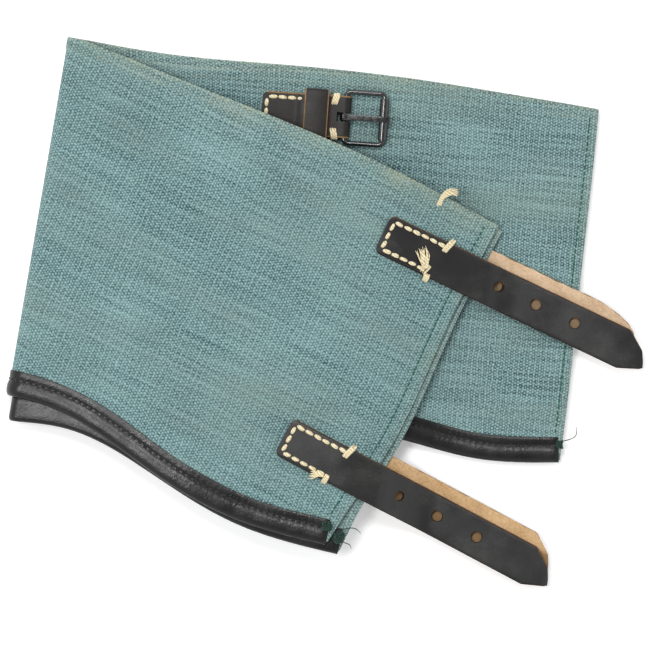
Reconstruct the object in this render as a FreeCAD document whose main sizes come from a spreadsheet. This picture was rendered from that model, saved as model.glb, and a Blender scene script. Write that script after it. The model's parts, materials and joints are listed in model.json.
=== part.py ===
"""A pair of canvas ankle gaiters, folded together: the left one outside, the right one nested in it.

Millimetres, +Z up.  All layers of cloth are ruled along the fold, so each layer is one height
profile over the distance from the fold, extruded along the fold and cut to its outline.
"""
import FreeCAD, Part
import Sketcher
import os
from math import cos, sin, radians, pi

V = FreeCAD.Vector
os.makedirs("parts", exist_ok=True)
doc = FreeCAD.newDocument("ankle_gaiters")

# ---------------------------------------------------------------- driving dimensions
DIMENSIONS = {
    "canvas_thickness": 1.0,
    "layer_pitch": 3.0,           # height from one gaiter's canvas to the other's
    "base_height": 1.2,           # lowest canvas above the table
    "fold_position": -140.6,      # where the fold's arc ends, measured across the fold
    "fold_angle": 9.6,            # turn of the fold line from the Y axis
    "fold_radius": 6.5,           # outside of the left gaiter's fold
    "gap": 0.4,
    "binding_width": 12.0,
    "binding_leather": 0.8,
    "binding_seam_inset": 7.8,    # seam to the bound edge
    "thread_height": 0.3,
    "seam_width": 0.9,
    "front_hem": 6.5,
    "back_hem": 3.5,
    "strap_width": 20.0,
    "strap_thickness": 2.0,
    "upper_strap_length": 143.0,
    "lower_strap_length": 148.0,
    "upper_strap_angle": -25.5,
    "lower_strap_angle": -28.0,
    "strap_tip_length": 11.5,
    "hole_diameter": 4.8,
    "hole_pitch": 21.0,
    "last_hole_to_tip": 39.4,
    "nested_strap_offset": 6.1,   # the right gaiter's straps lie this far above the left's
    "strap_joint_step": 5.2,
    "stitch_length": 3.6,
    "stitch_pitch": 4.7,
    "stitch_width": 1.1,
    "strap_stitch_height": 0.4,
    "buckle_angle": -4.0,
    "buckle_depth": 18.8,         # bar centre to roller centre
    "buckle_width": 25.0,         # side wire centre to side wire centre
    "wire_diameter": 2.4,
    "corner_radius": 2.2,
    "running_clearance": 0.05,
    "roller_diameter": 4.5,
    "roller_length": 20.2,
    "bar_height": 2.7,            # bar centre above the canvas
    "prong_width": 2.8,
    "prong_thickness": 1.4,
    "prong_over_roller": 0.2,
    "prong_reach": 22.2,
    "chape_leather": 1.4,
    "chape_width": 20.4,
    "chape_length": 40.8,
    "chape_slot_width": 3.6,
    "chape_slot_back": 4.2,
    "keeper_width": 11.8,
    "keeper_start": 20.2,         # keeper's far side behind the bar
    "keeper_leather": 1.2,
    "keeper_half_span": 12.8,
    "keeper_top": 7.8,
    "strap_room": 2.3,
}
table = doc.addObject("Spreadsheet::Sheet", "Dimensions")
for row, (alias, number) in enumerate(DIMENSIONS.items(), start=1):
    table.set(f"A{row}", alias)
    table.set(f"B{row}", str(number))
    table.setAlias(f"B{row}", alias)
doc.recompute()


def dim(alias):
    return float(table.get(alias))


CANVAS = dim("canvas_thickness")
PITCH = dim("layer_pitch")
FOLD = dim("fold_position")
BASE = dim("base_height")
GAP = dim("gap")
STRAP = dim("strap_thickness")
FLAP = dim("binding_leather")
FOLD_ANGLE = radians(dim("fold_angle"))
AWAY = V(cos(FOLD_ANGLE), -sin(FOLD_ANGLE), 0)     # across the fold, towards the open side
ALONG = V(sin(FOLD_ANGLE), cos(FOLD_ANGLE), 0)     # along the fold, towards the gaiter's top
FOLD_CENTRE = BASE + dim("fold_radius")            # height of the fold arc's centre, the hinge's axis
SHEET_REACH = 220.0                                # how far an uncut layer runs each way
PLATEAU = dim("keeper_top")                        # canvas height over the lower buckles
OPEN_END = 170.0


# ---------------------------------------------------------------- height profiles
def shifted(profile, height):
    return [(away, z + height) for away, z in profile]


def height_at(profile, away):
    for (a0, z0), (a1, z1) in zip(profile, profile[1:]):
        if a0 <= away <= a1:
            return z0 + (z1 - z0) * (away - a0) / (a1 - a0)
    return profile[-1][1]


def from_position(profile, start):
    """The part of a profile beyond a distance from the fold."""
    return [(start, height_at(profile, start))] + [p for p in profile if p[0] > start]


HUMP_START = -52.0          # the buckles lie between these two distances
HUMP_END = 24.0
FLAT_START = 62.0
EDGE_START = 75.0           # the front half is down to its lowest from here
LOWER_BACK = [(FOLD, BASE), (-118.0, BASE), (HUMP_START, PLATEAU), (HUMP_END, PLATEAU),
              (FLAT_START, BASE), (OPEN_END, BASE)]
UPPER_BACK = shifted(LOWER_BACK, PITCH)
BACK_FLAT_TOP = BASE + PITCH + CANVAS
FRONT_OVER_BUCKLES = PLATEAU + PITCH + CANVAS + dim("keeper_top") + 0.5
FRONT_AT_EDGE = BACK_FLAT_TOP + GAP + STRAP
INNER_FOLD_RADIUS = dim("fold_radius") - PITCH
LOWER_FRONT = [(FOLD, FOLD_CENTRE + INNER_FOLD_RADIUS - CANVAS), (HUMP_START, FRONT_OVER_BUCKLES),
               (HUMP_END, FRONT_OVER_BUCKLES), (EDGE_START, FRONT_AT_EDGE), (OPEN_END, FRONT_AT_EDGE)]
UPPER_FRONT = shifted(LOWER_FRONT, PITCH)

# Undersides of the four straps.  Each follows its own canvas to the edge, then drops.
UNDER_FLOOR = BASE + CANVAS + FLAP + GAP           # just above the lowest canvas and its binding
RIGHT_UPPER_STRAP = shifted(LOWER_FRONT, -STRAP)
LOWER_DROP_START = 43.5
RIGHT_LOWER_STRAP = ([p for p in RIGHT_UPPER_STRAP if p[0] < LOWER_DROP_START]
                     + [(LOWER_DROP_START, height_at(RIGHT_UPPER_STRAP, LOWER_DROP_START)),
                        (FLAT_START, UNDER_FLOOR), (OPEN_END, UNDER_FLOOR)])
LEFT_UPPER_DROP = (72.5, 84.0)
LEFT_ON_TOP = shifted(UPPER_FRONT, CANVAS)
LEFT_UPPER_STRAP = ([p for p in LEFT_ON_TOP if p[0] < LEFT_UPPER_DROP[0]]
                    + [(LEFT_UPPER_DROP[0], height_at(LEFT_ON_TOP, LEFT_UPPER_DROP[0])),
                       (LEFT_UPPER_DROP[1], FRONT_AT_EDGE + GAP), (OPEN_END, FRONT_AT_EDGE + GAP)])
LEFT_LOWER_DROP = 39.0
LEFT_LOWER_STRAP = ([p for p in LEFT_ON_TOP if p[0] < LEFT_LOWER_DROP]
                    + [(LEFT_LOWER_DROP, height_at(LEFT_ON_TOP, LEFT_LOWER_DROP)),
                       (FLAT_START, UNDER_FLOOR + STRAP + GAP), (OPEN_END, UNDER_FLOOR + STRAP + GAP)])


def section_point(away, z):
    return AWAY * away + V(0, 0, z)


def ruled(edges):
    """A closed section, extruded along the fold both ways."""
    wire = Part.Wire(Part.__sortEdges__(edges))
    wire.translate(ALONG * -SHEET_REACH)
    return Part.Face(wire).extrude(ALONG * 2 * SHEET_REACH)


def layer(profile, thickness):
    """A layer of cloth or leather: the profile thickened upwards and extruded along the fold."""
    lower = [section_point(a, z) for a, z in profile]
    upper = [p + V(0, 0, thickness) for p in lower]
    ring = lower + upper[::-1]
    return ruled([Part.LineSegment(a, b).toShape() for a, b in zip(ring, ring[1:] + ring[:1])])


def half_round(outer, inner):
    """The fold: a half tube between two radii, joining the back half's layer to the front half's."""
    edges = []
    for radius in (outer, inner):
        below, above = [section_point(FOLD, FOLD_CENTRE + side * radius) for side in (-1, 1)]
        edges.append(Part.Arc(below, section_point(FOLD - radius, FOLD_CENTRE), above).toShape())
    for side in (-1, 1):
        edges.append(Part.LineSegment(section_point(FOLD, FOLD_CENTRE + side * outer),
                                      section_point(FOLD, FOLD_CENTRE + side * inner)).toShape())
    return ruled(edges)


# ---------------------------------------------------------------- outlines seen from above
def spline(points):
    curve = Part.BSplineCurve()
    curve.interpolate([V(x, y, 0) for x, y in points])
    return curve


def beside(points, distance):
    """The same line moved to its left by a distance, point by point."""
    curve = spline(points)
    moved = []
    for x, y in points:
        tangent = curve.tangent(curve.parameter(V(x, y, 0)))[0]
        moved.append((x - tangent.y * distance, y + tangent.x * distance))
    return moved


def prism(*sides):
    """An upright prism over a closed outline.  Each side is a list of points; its gaps are closed."""
    edges = []
    for side, following in zip(sides, sides[1:] + sides[:1]):
        if len(side) == 2:
            edges.append(Part.LineSegment(V(*side[0], 0), V(*side[1], 0)).toShape())
        elif len(side) > 2:
            edges.append(spline(side).toShape())
        end, start = V(*side[-1], 0), V(*following[0], 0)
        if end.distanceToPoint(start) > 1e-6:
            edges.append(Part.LineSegment(end, start).toShape())
    face = Part.Face(Part.Wire(edges))
    face.translate(V(0, 0, -5))
    return face.extrude(V(0, 0, 70))


# Bound (bottom) edges run from the fold to the open side; top edges too; open edges run down.
EDGES = {
    "left_front": {
        "top": [(-165, 133.2), (-122.0, 133.2), (-52.5, 104.8), (18.5, 75.0), (83.0, 41.7)],
        "open": [(83.0, 41.7), (56.0, -12.0), (30.0, -66.5), (13.7, -90.5)],
        "bound": [(-168.0, -38.0), (-154.7, -40.5), (-130.1, -48.2), (-86.4, -76.7), (-43.6, -100.8),
                  (-0.8, -113.0)]},
    "right_front": {
        "top": [(-160, 127.5), (-121.0, 127.5), (-53.0, 100.8), (19.0, 70.6), (85.0, 39.0)],
        "open": [(85.0, 39.0), (58.5, -13.5), (33.0, -68.0), (18.0, -92.0)],
        "bound": [(-164.0, -53.0), (-149.5, -53.5), (-127.9, -56.5), (-86.4, -77.8), (-43.6, -103.1),
                  (5.0, -117.6)]},
    "left_back": {
        "top": [(-165, 133.2), (-121.0, 133.2), (-75.0, 125.3), (-12.7, 119.5), (60.0, 110.8),
                (132.7, 98.8)],
        "open": [(132.7, 98.8), (129.3, 69.1), (122.6, 10.8), (117.0, -43.1)],
        "bound": [(-168.0, -38.0), (-154.7, -40.5), (-100.0, -46.0), (35.0, -60.0), (73.0, -70.0),
                  (112.5, -72.0)]},
    "right_back": {
        "top": [(-160, 127.5), (-118.0, 127.5), (-75.0, 120.6), (-12.7, 117.2), (60.0, 109.8),
                (132.5, 98.0)],
        "open": [(132.5, 98.0), (129.6, 69.1), (123.0, 10.8), (117.3, -43.1)],
        "bound": [(-164.0, -53.0), (-149.5, -53.5), (-100.0, -51.0), (35.6, -61.9), (73.0, -71.5),
                  (113.4, -73.4)]},
}
LAYERS = {"left_front": UPPER_FRONT, "right_front": LOWER_FRONT,
          "left_back": LOWER_BACK, "right_back": UPPER_BACK}
OUTER_FACE_UP = {"left_front": True, "right_front": False, "left_back": False, "right_back": True}
FOLD_RADIUS = {"left": dim("fold_radius"), "right": INNER_FOLD_RADIUS}
FRONT_CLEARANCE = 0.3       # between the front half and the fold's arc


def start_of(panel):
    return FOLD + FRONT_CLEARANCE if panel.endswith("front") else FOLD


def canvas_outline(panel):
    edge = EDGES[panel]
    bound = beside(edge["bound"], 1.0)
    return prism(edge["top"][:2], edge["top"][1:], edge["open"] + [bound[-1]], bound[::-1])


def binding_outline(panel):
    bound = EDGES[panel]["bound"]
    return prism(bound, beside(bound, dim("binding_width"))[::-1])


def panel_shape(panel):
    return layer(from_position(LAYERS[panel], start_of(panel)), CANVAS).common(canvas_outline(panel))


def fold_shape(side):
    """The canvas of the fold, cut to the back half's outline."""
    outer = FOLD_RADIUS[side]
    return half_round(outer, outer - CANVAS).common(canvas_outline(side + "_back"))


def binding_shape(panel, canvas):
    """Leather folded round the bottom edge, with the canvas between its two faces."""
    profile = from_position(shifted(LAYERS[panel], -FLAP), start_of(panel))
    return layer(profile, CANVAS + 2 * FLAP).common(binding_outline(panel)).cut(canvas)


def fold_binding_shape(side, canvas):
    outer = FOLD_RADIUS[side] + FLAP
    wrapped = half_round(outer, outer - CANVAS - 2 * FLAP)
    return wrapped.common(binding_outline(side + "_back")).cut(canvas)


def ribbon(panel, line, lift, start=FOLD + 3.0):
    """A raised line of thread on the outer face, lift above the canvas."""
    height = dim("thread_height")
    base = CANVAS + lift if OUTER_FACE_UP[panel] else -lift - height
    strip = prism(beside(line, -dim("seam_width") / 2), beside(line, dim("seam_width") / 2)[::-1])
    return layer(from_position(shifted(LAYERS[panel], base), start), height).common(strip)


def hem_seam_shape(panel):
    edge = EDGES[panel]
    inset = dim("front_hem") if panel.endswith("front") else dim("back_hem")
    line = beside(edge["open"], -inset)
    return ribbon(panel, [(line[0][0] - 1.0, line[0][1] - 3.0)] + line[1:], 0.0)


def binding_seam_shape(panel):
    return ribbon(panel, beside(EDGES[panel]["bound"], dim("binding_seam_inset")), FLAP)


# ---------------------------------------------------------------- straps
class Strap:
    """One strap in its own directions: along its length and across it."""

    def __init__(self, level, start, angle, length, joint, profile, outer_up):
        self.level = level
        self.start = V(*start, 0)
        self.angle = radians(angle)
        self.length = length
        self.joint = joint
        self.profile = profile
        self.outer_up = outer_up
        self.ahead = V(cos(self.angle), sin(self.angle), 0)
        self.across = V(-sin(self.angle), cos(self.angle), 0)

    def point(self, along, across):
        p = self.start + self.ahead * along + self.across * across
        return (p.x, p.y)

    def piece(self, begin, end, tip=False):
        half = dim("strap_width") / 2
        chamfer = 2.5
        if tip:
            shoulder = end - dim("strap_tip_length")
            nose = [self.point(shoulder, half), self.point(end - 2.0, half * 0.42), self.point(end, -1.0),
                    self.point(end - 2.5, -half * 0.5), self.point(shoulder, -half)]
            outline = prism([self.point(begin, half), self.point(shoulder, half)], nose,
                            [self.point(shoulder, -half), self.point(begin, -half)])
        else:
            outline = prism([self.point(begin + chamfer, half), self.point(end, half)],
                            [self.point(end, -half), self.point(begin + chamfer, -half)],
                            [self.point(begin, chamfer - half), self.point(begin, half - chamfer)])
        return layer(self.profile, STRAP).common(outline)

    def root_shape(self):
        return self.piece(0.0, self.joint - 0.2)

    def free_shape(self):
        shape = self.piece(self.joint + 0.2, self.length, tip=True)
        for k in range(3):
            along = self.length - dim("last_hole_to_tip") - k * dim("hole_pitch")
            x, y = self.point(along, 0)
            shape = shape.cut(Part.makeCylinder(dim("hole_diameter") / 2, 70, V(x, y, -5)))
        return shape

    def stitching_shape(self):
        """Two rows and a bar of separate stitches on the strap's grain side."""
        long, wide = dim("stitch_length"), dim("stitch_width")
        height = dim("strap_stitch_height")
        base = STRAP if self.outer_up else -height
        cover = layer(shifted(self.profile, base), height)
        places = [(3.5 + k * dim("stitch_pitch"), 7.6) for k in range(5)]
        places += [(3.5 + k * dim("stitch_pitch"), -7.6) for k in range(4)]
        stitches = []
        for along, across in places:
            corners = [self.point(along + a, across + b)
                       for a, b in ((0, -wide / 2), (long, -wide / 2), (long, wide / 2), (0, wide / 2))]
            stitches.append(cover.common(prism(corners[:2], corners[2:])))
        for k in range(3):
            bar = 27.5 + 1.6 * k
            corners = [self.point(bar + a, b) for a, b in ((0, 5.4), (1.0, 5.4), (1.0, 9.4), (0, 9.4))]
            stitches.append(cover.common(prism(corners[:2], corners[2:])))
        return Part.makeCompound(stitches)

    def axis(self):
        """Joint level with the highest point of the strap's upper face there, so nothing is above it."""
        middle = self.start + self.ahead * self.joint
        half = dim("strap_width") / 2
        ends = [middle + self.ahead * a + self.across * b for a in (-0.2, 0.2) for b in (-half, half)]
        highest = max(height_at(self.profile, end.dot(AWAY)) for end in ends)
        return V(middle.x, middle.y, highest + STRAP), self.across


UPPER, LOWER = dim("upper_strap_angle"), dim("lower_strap_angle")
STEP = dim("strap_joint_step")
left_upper = Strap("upper", (27.0, 38.0), UPPER, dim("upper_strap_length"), 52.5, LEFT_UPPER_STRAP, True)
left_lower = Strap("lower", (-21.0, -60.5), LOWER, dim("lower_strap_length"), 51.0, LEFT_LOWER_STRAP, True)


def nested_strap(outer, back, profile):
    """The right gaiter's strap: beside and below the left's, starting a little further back."""
    place = outer.point(-back, dim("nested_strap_offset"))
    return Strap(outer.level, place, outer.angle * 180 / pi, outer.length, outer.joint + STEP + back,
                 profile, False)


right_upper = nested_strap(left_upper, 8.0, RIGHT_UPPER_STRAP)
right_lower = nested_strap(left_lower, 3.0, RIGHT_LOWER_STRAP)
STRAPS = {"left": (left_upper, left_lower), "right": (right_upper, right_lower)}

# ---------------------------------------------------------------- buckle units
# In a unit's own frame +X points along the prong, +Z away from the canvas, and the bar is over the origin.
BUCKLES = {
    "left_upper": (V(8.8, 94.7, PLATEAU), True),
    "left_lower": (V(-3.9, -19.9, PLATEAU), True),
    "right_upper": (V(8.8, 94.7, PLATEAU + PITCH + CANVAS), False),
    "right_lower": (V(-3.9, -19.9, PLATEAU + PITCH + CANVAS), False),
}


def unit_placement(place, facing_down):
    turn = FreeCAD.Rotation(V(0, 0, 1), dim("buckle_angle"))
    if facing_down:
        turn = turn.multiply(FreeCAD.Rotation(V(1, 0, 0), 180))
    return FreeCAD.Placement(place, turn)


def new_sketch(body, name, role):
    sketch = body.newObject("Sketcher::SketchObject", name)
    plane = [f for f in body.Origin.OriginFeatures if f.Role == role][0]
    sketch.AttachmentSupport = [(plane, "")]
    sketch.MapMode = "FlatFace"
    return sketch


def add_lines(sketch, points, close=True):
    ends = points[1:] + points[:1] if close else points[1:]
    for a, b in zip(points, ends):
        sketch.addGeometry(Part.LineSegment(V(*a, 0), V(*b, 0)))


def add_circle(sketch, x, y, radius, expression):
    index = sketch.addGeometry(Part.Circle(V(x, y, 0), V(0, 0, 1), radius))
    constraint = sketch.addConstraint(Sketcher.Constraint("Radius", index, radius))
    sketch.setExpression(f"Constraints[{constraint}]", expression)


def pad(body, sketch, name, expression):
    """Pad a sketch to both sides of its plane."""
    feature = body.newObject("PartDesign::Pad", name)
    feature.Profile = sketch
    feature.SideType = "Symmetric"
    feature.setExpression("Length", expression)
    sketch.Visibility = False
    return feature


def make_frame(body):
    """Closed ring of round wire: bar, two sides and the roller's end."""
    depth, half, radius = dim("buckle_depth"), dim("buckle_width") / 2, dim("corner_radius")
    bar = dim("bar_height")
    path = new_sketch(body, body.Name + "_path", "XY_Plane")
    path.AttachmentOffset = FreeCAD.Placement(V(0, 0, bar), FreeCAD.Rotation())
    corners = [(radius, half - radius, 90), (depth - radius, half - radius, 0),
               (depth - radius, radius - half, 270), (radius, radius - half, 180)]
    previous = V(0, 0, 0)
    for x, y, first in corners:
        circle = Part.Circle(V(x, y, 0), V(0, 0, 1), radius)
        arc = Part.ArcOfCircle(circle, radians(first), radians(first + 90))
        path.addGeometry(Part.LineSegment(previous, arc.EndPoint))
        path.addGeometry(arc)
        previous = arc.StartPoint
    path.addGeometry(Part.LineSegment(previous, V(0, 0, 0)))
    section = new_sketch(body, body.Name + "_section", "XZ_Plane")
    add_circle(section, 0, bar, dim("wire_diameter") / 2, "Dimensions.wire_diameter / 2")
    doc.recompute()
    ring = body.newObject("PartDesign::AdditivePipe", body.Name + "_wire")
    ring.Profile = section
    ring.Spine = (path, [f"Edge{k + 1}" for k in range(9)])


def make_roller(body):
    sketch = new_sketch(body, body.Name + "_section", "XZ_Plane")
    x, z = dim("buckle_depth"), dim("bar_height")
    bore = dim("wire_diameter") / 2 + dim("running_clearance")
    add_circle(sketch, x, z, dim("roller_diameter") / 2, "Dimensions.roller_diameter / 2")
    add_circle(sketch, x, z, bore, "Dimensions.wire_diameter / 2 + Dimensions.running_clearance")
    pad(body, sketch, body.Name + "_tube", "Dimensions.roller_length")


def make_prong(body):
    """An eye round the bar and a blade that rests over the roller."""
    bar, thick = dim("bar_height"), dim("prong_thickness")
    bore = dim("wire_diameter") / 2 + dim("running_clearance")
    eye = new_sketch(body, body.Name + "_eye", "XZ_Plane")
    add_circle(eye, 0, bar, bore + thick, "Dimensions.wire_diameter / 2 + Dimensions.running_clearance"
               " + Dimensions.prong_thickness")
    add_circle(eye, 0, bar, bore, "Dimensions.wire_diameter / 2 + Dimensions.running_clearance")
    pad(body, eye, body.Name + "_eye_pad", "Dimensions.prong_width")
    blade = new_sketch(body, body.Name + "_blade", "XZ_Plane")
    reach = dim("prong_reach")
    under = bar + dim("roller_diameter") / 2 + dim("prong_over_roller")
    add_lines(blade, [(0.0, bar + 2.6), (17.0, under + thick), (reach - 1.2, under + thick),
                      (reach, under + 0.6), (reach - 1.0, under), (17.0, under), (1.8, bar + 1.85)])
    pad(body, blade, body.Name + "_blade_pad", "Dimensions.prong_width")


def make_chape(body):
    """A strip folded round the bar: two layers, open round the bar and where the keeper passes."""
    leather, bar, length = dim("chape_leather"), dim("bar_height"), dim("chape_length")
    tunnel_top = leather + dim("keeper_leather") + 0.3
    near, far = -7.2, -dim("keeper_start") - 0.7
    outer, inner = bar, bar - leather
    sketch = new_sketch(body, body.Name + "_side", "XZ_Plane")
    add_lines(sketch, [(0, bar + outer), (near, tunnel_top + leather), (far, tunnel_top + leather),
                       (far - 2.5, 2 * leather), (1.0 - length, 2 * leather), (-length, leather),
                       (-length, 0), (0, 0)], close=False)
    add_lines(sketch, [(0, bar + inner), (near, tunnel_top), (far, tunnel_top), (far - 2.0, leather),
                       (0, leather)], close=False)
    for radius in (outer, inner):
        circle = Part.Circle(V(0, bar, 0), V(0, 0, 1), radius)
        sketch.addGeometry(Part.ArcOfCircle(circle, -pi / 2, pi / 2))
    pad(body, sketch, body.Name + "_strip", "Dimensions.chape_width")
    doc.recompute()
    slot = new_sketch(body, body.Name + "_slot", "XZ_Plane")
    back = -dim("chape_slot_back")
    add_lines(slot, [(back, -1.0), (outer + 1.0, -1.0), (outer + 1.0, 2 * bar + 1.0),
                     (back, 2 * bar + 1.0)])
    pocket = body.newObject("PartDesign::Pocket", body.Name + "_prong_slot")
    pocket.Profile = slot
    pocket.SideType = "Symmetric"
    pocket.setExpression("Length", "Dimensions.chape_slot_width")


def make_keeper(body):
    """A closed leather loop with rounded corners, open along X for the strap."""
    top, leather, half = dim("keeper_top"), dim("keeper_leather"), dim("keeper_half_span")
    bottom = dim("chape_leather") + 0.15
    sketch = new_sketch(body, body.Name + "_loop", "YZ_Plane")

    def rounded(y, z0, z1, r):
        add_lines(sketch, [(-y + r, z0), (y - r, z0), (y, z0 + r), (y, z1 - r), (y - r, z1),
                           (-y + r, z1), (-y, z1 - r), (-y, z0 + r)])

    rounded(half, bottom, top, 1.2)
    rounded(half - leather, bottom + leather, top - leather, 0.5)
    sketch.AttachmentOffset = FreeCAD.Placement(
        V(0, 0, dim("keeper_width") / 2 - dim("keeper_start")), FreeCAD.Rotation())
    pad(body, sketch, body.Name + "_band", "Dimensions.keeper_width")


def chape_stitching_shape():
    """Stitches through the chape's two layers, in a U that is open towards the buckle."""
    top, wide, long = 2 * dim("chape_leather"), 0.9, dim("stitch_length") - 0.4
    step, row = 3.8, dim("chape_width") / 2 - 2.2
    begin = 2.2 - dim("chape_length")
    boxes = []
    for side in (-1, 1):
        for k in range(4):
            corner = V(begin + k * step, side * row - wide / 2, top)
            boxes.append(Part.makeBox(long, wide, dim("thread_height"), corner))
    for k in range(3):
        corner = V(begin - wide, -5.5 + k * step, top)
        boxes.append(Part.makeBox(wide, 2.8, dim("thread_height"), corner))
    return Part.makeCompound(boxes)


# ---------------------------------------------------------------- the document's sub-parts
ORIGIN_X = -0.195      # middle of the whole box, so the part stands on its base centre
ORIGIN_Y = -0.374
SHIFT = FreeCAD.Placement(V(-ORIGIN_X, -ORIGIN_Y, 0), FreeCAD.Rotation())
nodes = []


def add_feature(label, shape):
    node = doc.addObject("Part::Feature", label)
    node.Shape = shape
    node.Label = label
    node.Placement = SHIFT
    nodes.append(node)


def add_body(label, make, placement):
    body = doc.addObject("PartDesign::Body", label)
    body.Label = label
    make(body)
    body.Placement = placement
    nodes.append(body)


for side in ("left", "right"):
    for half in ("front", "back"):
        panel = f"{side}_{half}"
        canvas = panel_shape(panel)
        add_feature(panel + "_canvas", canvas)
        add_feature(panel + "_binding", binding_shape(panel, canvas))
        hem = hem_seam_shape(panel)
        if half == "front":
            for strap in STRAPS[side]:
                hem = hem.cut(strap.root_shape())
        add_feature(panel + "_hem_thread", hem)
        add_feature(panel + "_binding_thread", binding_seam_shape(panel))
    fold = fold_shape(side)
    add_feature(side + "_fold_canvas", fold)
    add_feature(side + "_fold_binding", fold_binding_shape(side, fold))
    for strap in STRAPS[side]:
        add_feature(f"{side}_{strap.level}_strap_root", strap.root_shape())
        add_feature(f"{side}_{strap.level}_strap", strap.free_shape())
        add_feature(f"{side}_{strap.level}_strap_stitches", strap.stitching_shape())

UNIT_MAKERS = {"chape": make_chape, "keeper": make_keeper, "buckle_frame": make_frame,
               "roller": make_roller, "prong": make_prong}
for unit, (place, facing_down) in BUCKLES.items():
    placement = SHIFT.multiply(unit_placement(place, facing_down))
    for piece, maker in UNIT_MAKERS.items():
        add_body(f"{unit}_{piece}", maker, placement)
    stitches = doc.addObject("Part::Feature", f"{unit}_chape_stitches")
    stitches.Shape = chape_stitching_shape()
    stitches.Label = f"{unit}_chape_stitches"
    stitches.Placement = placement
    nodes.append(stitches)
doc.recompute()

# ---------------------------------------------------------------- checks, joint places and export
problems = [f"{o.Label}: {o.State}" for o in doc.Objects if "Invalid" in o.State or "Error" in o.State]
problems += [n.Label for n in nodes if n.Shape.isNull() or not n.Shape.isValid() or not n.Shape.Solids]
if problems:
    raise SystemExit("failed: " + ", ".join(problems))

whole = FreeCAD.BoundBox()
for node in nodes:
    whole.add(node.Shape.optimalBoundingBox(False))
print("box", [round(v, 3) for v in (whole.XMin, whole.XMax, whole.YMin, whole.YMax, whole.ZMin, whole.ZMax)])
print("fold axis", AWAY * FOLD + V(0, 0, FOLD_CENTRE) - V(ORIGIN_X, ORIGIN_Y, 0), ALONG)
for side, pair in STRAPS.items():
    for strap in pair:
        middle, direction = strap.axis()
        print("strap axis", side, strap.level, middle - V(ORIGIN_X, ORIGIN_Y, 0), direction)
for unit, (place, facing_down) in BUCKLES.items():
    placement = SHIFT.multiply(unit_placement(place, facing_down))
    print("buckle", unit, placement.multVec(V(0, 0, dim("bar_height"))),
          placement.multVec(V(dim("buckle_depth"), 0, dim("bar_height"))),
          placement.Rotation.multVec(V(0, 1, 0)))

for node in nodes:
    node.Shape.exportStep(f"parts/{node.Label}.step")
    print(node.Label, len(node.Shape.Solids), round(node.Shape.Volume, 1))
print(len(nodes), "nodes")
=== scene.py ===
"""The looks of a folded pair of canvas ankle gaiters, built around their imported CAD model.

Lengths are in millimetres in the design's own coordinates, and to_frame() turns them into the row frame.
AWAY runs from the fold to the open side and ALONG runs along the fold. A place on a gaiter's canvas is
(c, v): c is measured round the cloth from the fold's lower tangent line, v along the fold.
"""
import json
import random
from math import cos, pi, radians, sin

import bmesh
import bpy
import numpy as np
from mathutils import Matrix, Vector


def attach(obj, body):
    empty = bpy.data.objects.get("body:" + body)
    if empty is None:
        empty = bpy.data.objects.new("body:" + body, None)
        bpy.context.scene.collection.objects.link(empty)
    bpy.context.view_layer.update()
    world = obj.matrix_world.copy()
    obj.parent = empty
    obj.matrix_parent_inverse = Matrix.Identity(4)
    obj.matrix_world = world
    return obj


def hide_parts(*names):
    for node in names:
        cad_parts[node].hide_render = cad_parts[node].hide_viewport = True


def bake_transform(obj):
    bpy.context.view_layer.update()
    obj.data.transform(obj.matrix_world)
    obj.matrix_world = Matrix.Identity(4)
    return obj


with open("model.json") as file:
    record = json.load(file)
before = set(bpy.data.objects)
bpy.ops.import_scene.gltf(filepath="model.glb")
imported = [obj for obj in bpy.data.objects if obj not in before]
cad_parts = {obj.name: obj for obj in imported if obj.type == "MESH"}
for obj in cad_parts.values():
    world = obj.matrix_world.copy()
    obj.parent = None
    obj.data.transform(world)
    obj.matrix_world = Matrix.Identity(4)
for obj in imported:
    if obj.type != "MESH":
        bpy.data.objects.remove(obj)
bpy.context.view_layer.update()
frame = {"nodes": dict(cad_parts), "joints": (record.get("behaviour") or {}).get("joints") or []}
JOINTS = {j["name"]: j for j in frame["joints"]}
NODES = frame["nodes"]
rng = random.Random(11)

# ---------------------------------------------------------------- places and sizes
FOLD_TURN = radians(9.6)
AWAY = np.array([cos(FOLD_TURN), -sin(FOLD_TURN)])
ALONG = np.array([sin(FOLD_TURN), cos(FOLD_TURN)])
FOLD = -140.6
hinge = 1000 * np.array(JOINTS["left_fold"]["pos_m"])
FOLD_CENTRE = hinge[2]
SHIFT = np.array([*(hinge[:2] - AWAY * FOLD), 0.0])
CANVAS = 1.0                # thickness of the cloth
HALF = CANVAS / 2
LAYER_STEP = 3.0            # one gaiter's layer above the other's
STRAP_HALF = 10.0
STRAP_THICK = 2.0
STRIP_MARGIN = 8.0          # canvas each side of the fold's arc that belongs to the strip
BEND_SMOOTHING = 6.0

# (u, height) of the cloth's under side, with u measured along AWAY
LOWER_BACK = [(-140.6, 1.2), (-118.0, 1.2), (-52.0, 7.8), (24.0, 7.8), (62.0, 1.2), (170.0, 1.2)]
LOWER_FRONT = [(-140.6, 10.2), (-52.0, 20.1), (24.0, 20.1), (75.0, 7.6), (170.0, 7.6)]


def raised(profile, by):
    return [(u, z + by) for u, z in profile]


def level(profile, u):
    return np.interp(u, [p[0] for p in profile], [p[1] for p in profile])


def eased(profile, u, reach=BEND_SMOOTHING):
    """Height of a profile with its corners rounded over reach."""
    u = np.asarray(u, float)
    return sum(level(profile, u + o) for o in np.linspace(-reach, reach, 13)) / 13


UPPER_BACK = raised(LOWER_BACK, LAYER_STEP)
UPPER_FRONT = raised(LOWER_FRONT, LAYER_STEP)
RIGHT_LOWER_TURN, LEFT_LOWER_TURN = 43.5, 39.0      # where the lower straps drop towards the table


def with_drop(profile, last, *rest):
    """The profile up to u = last, then the points given."""
    return [p for p in profile if p[0] < last] + [(last, float(level(profile, last)))] + list(rest)


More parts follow.
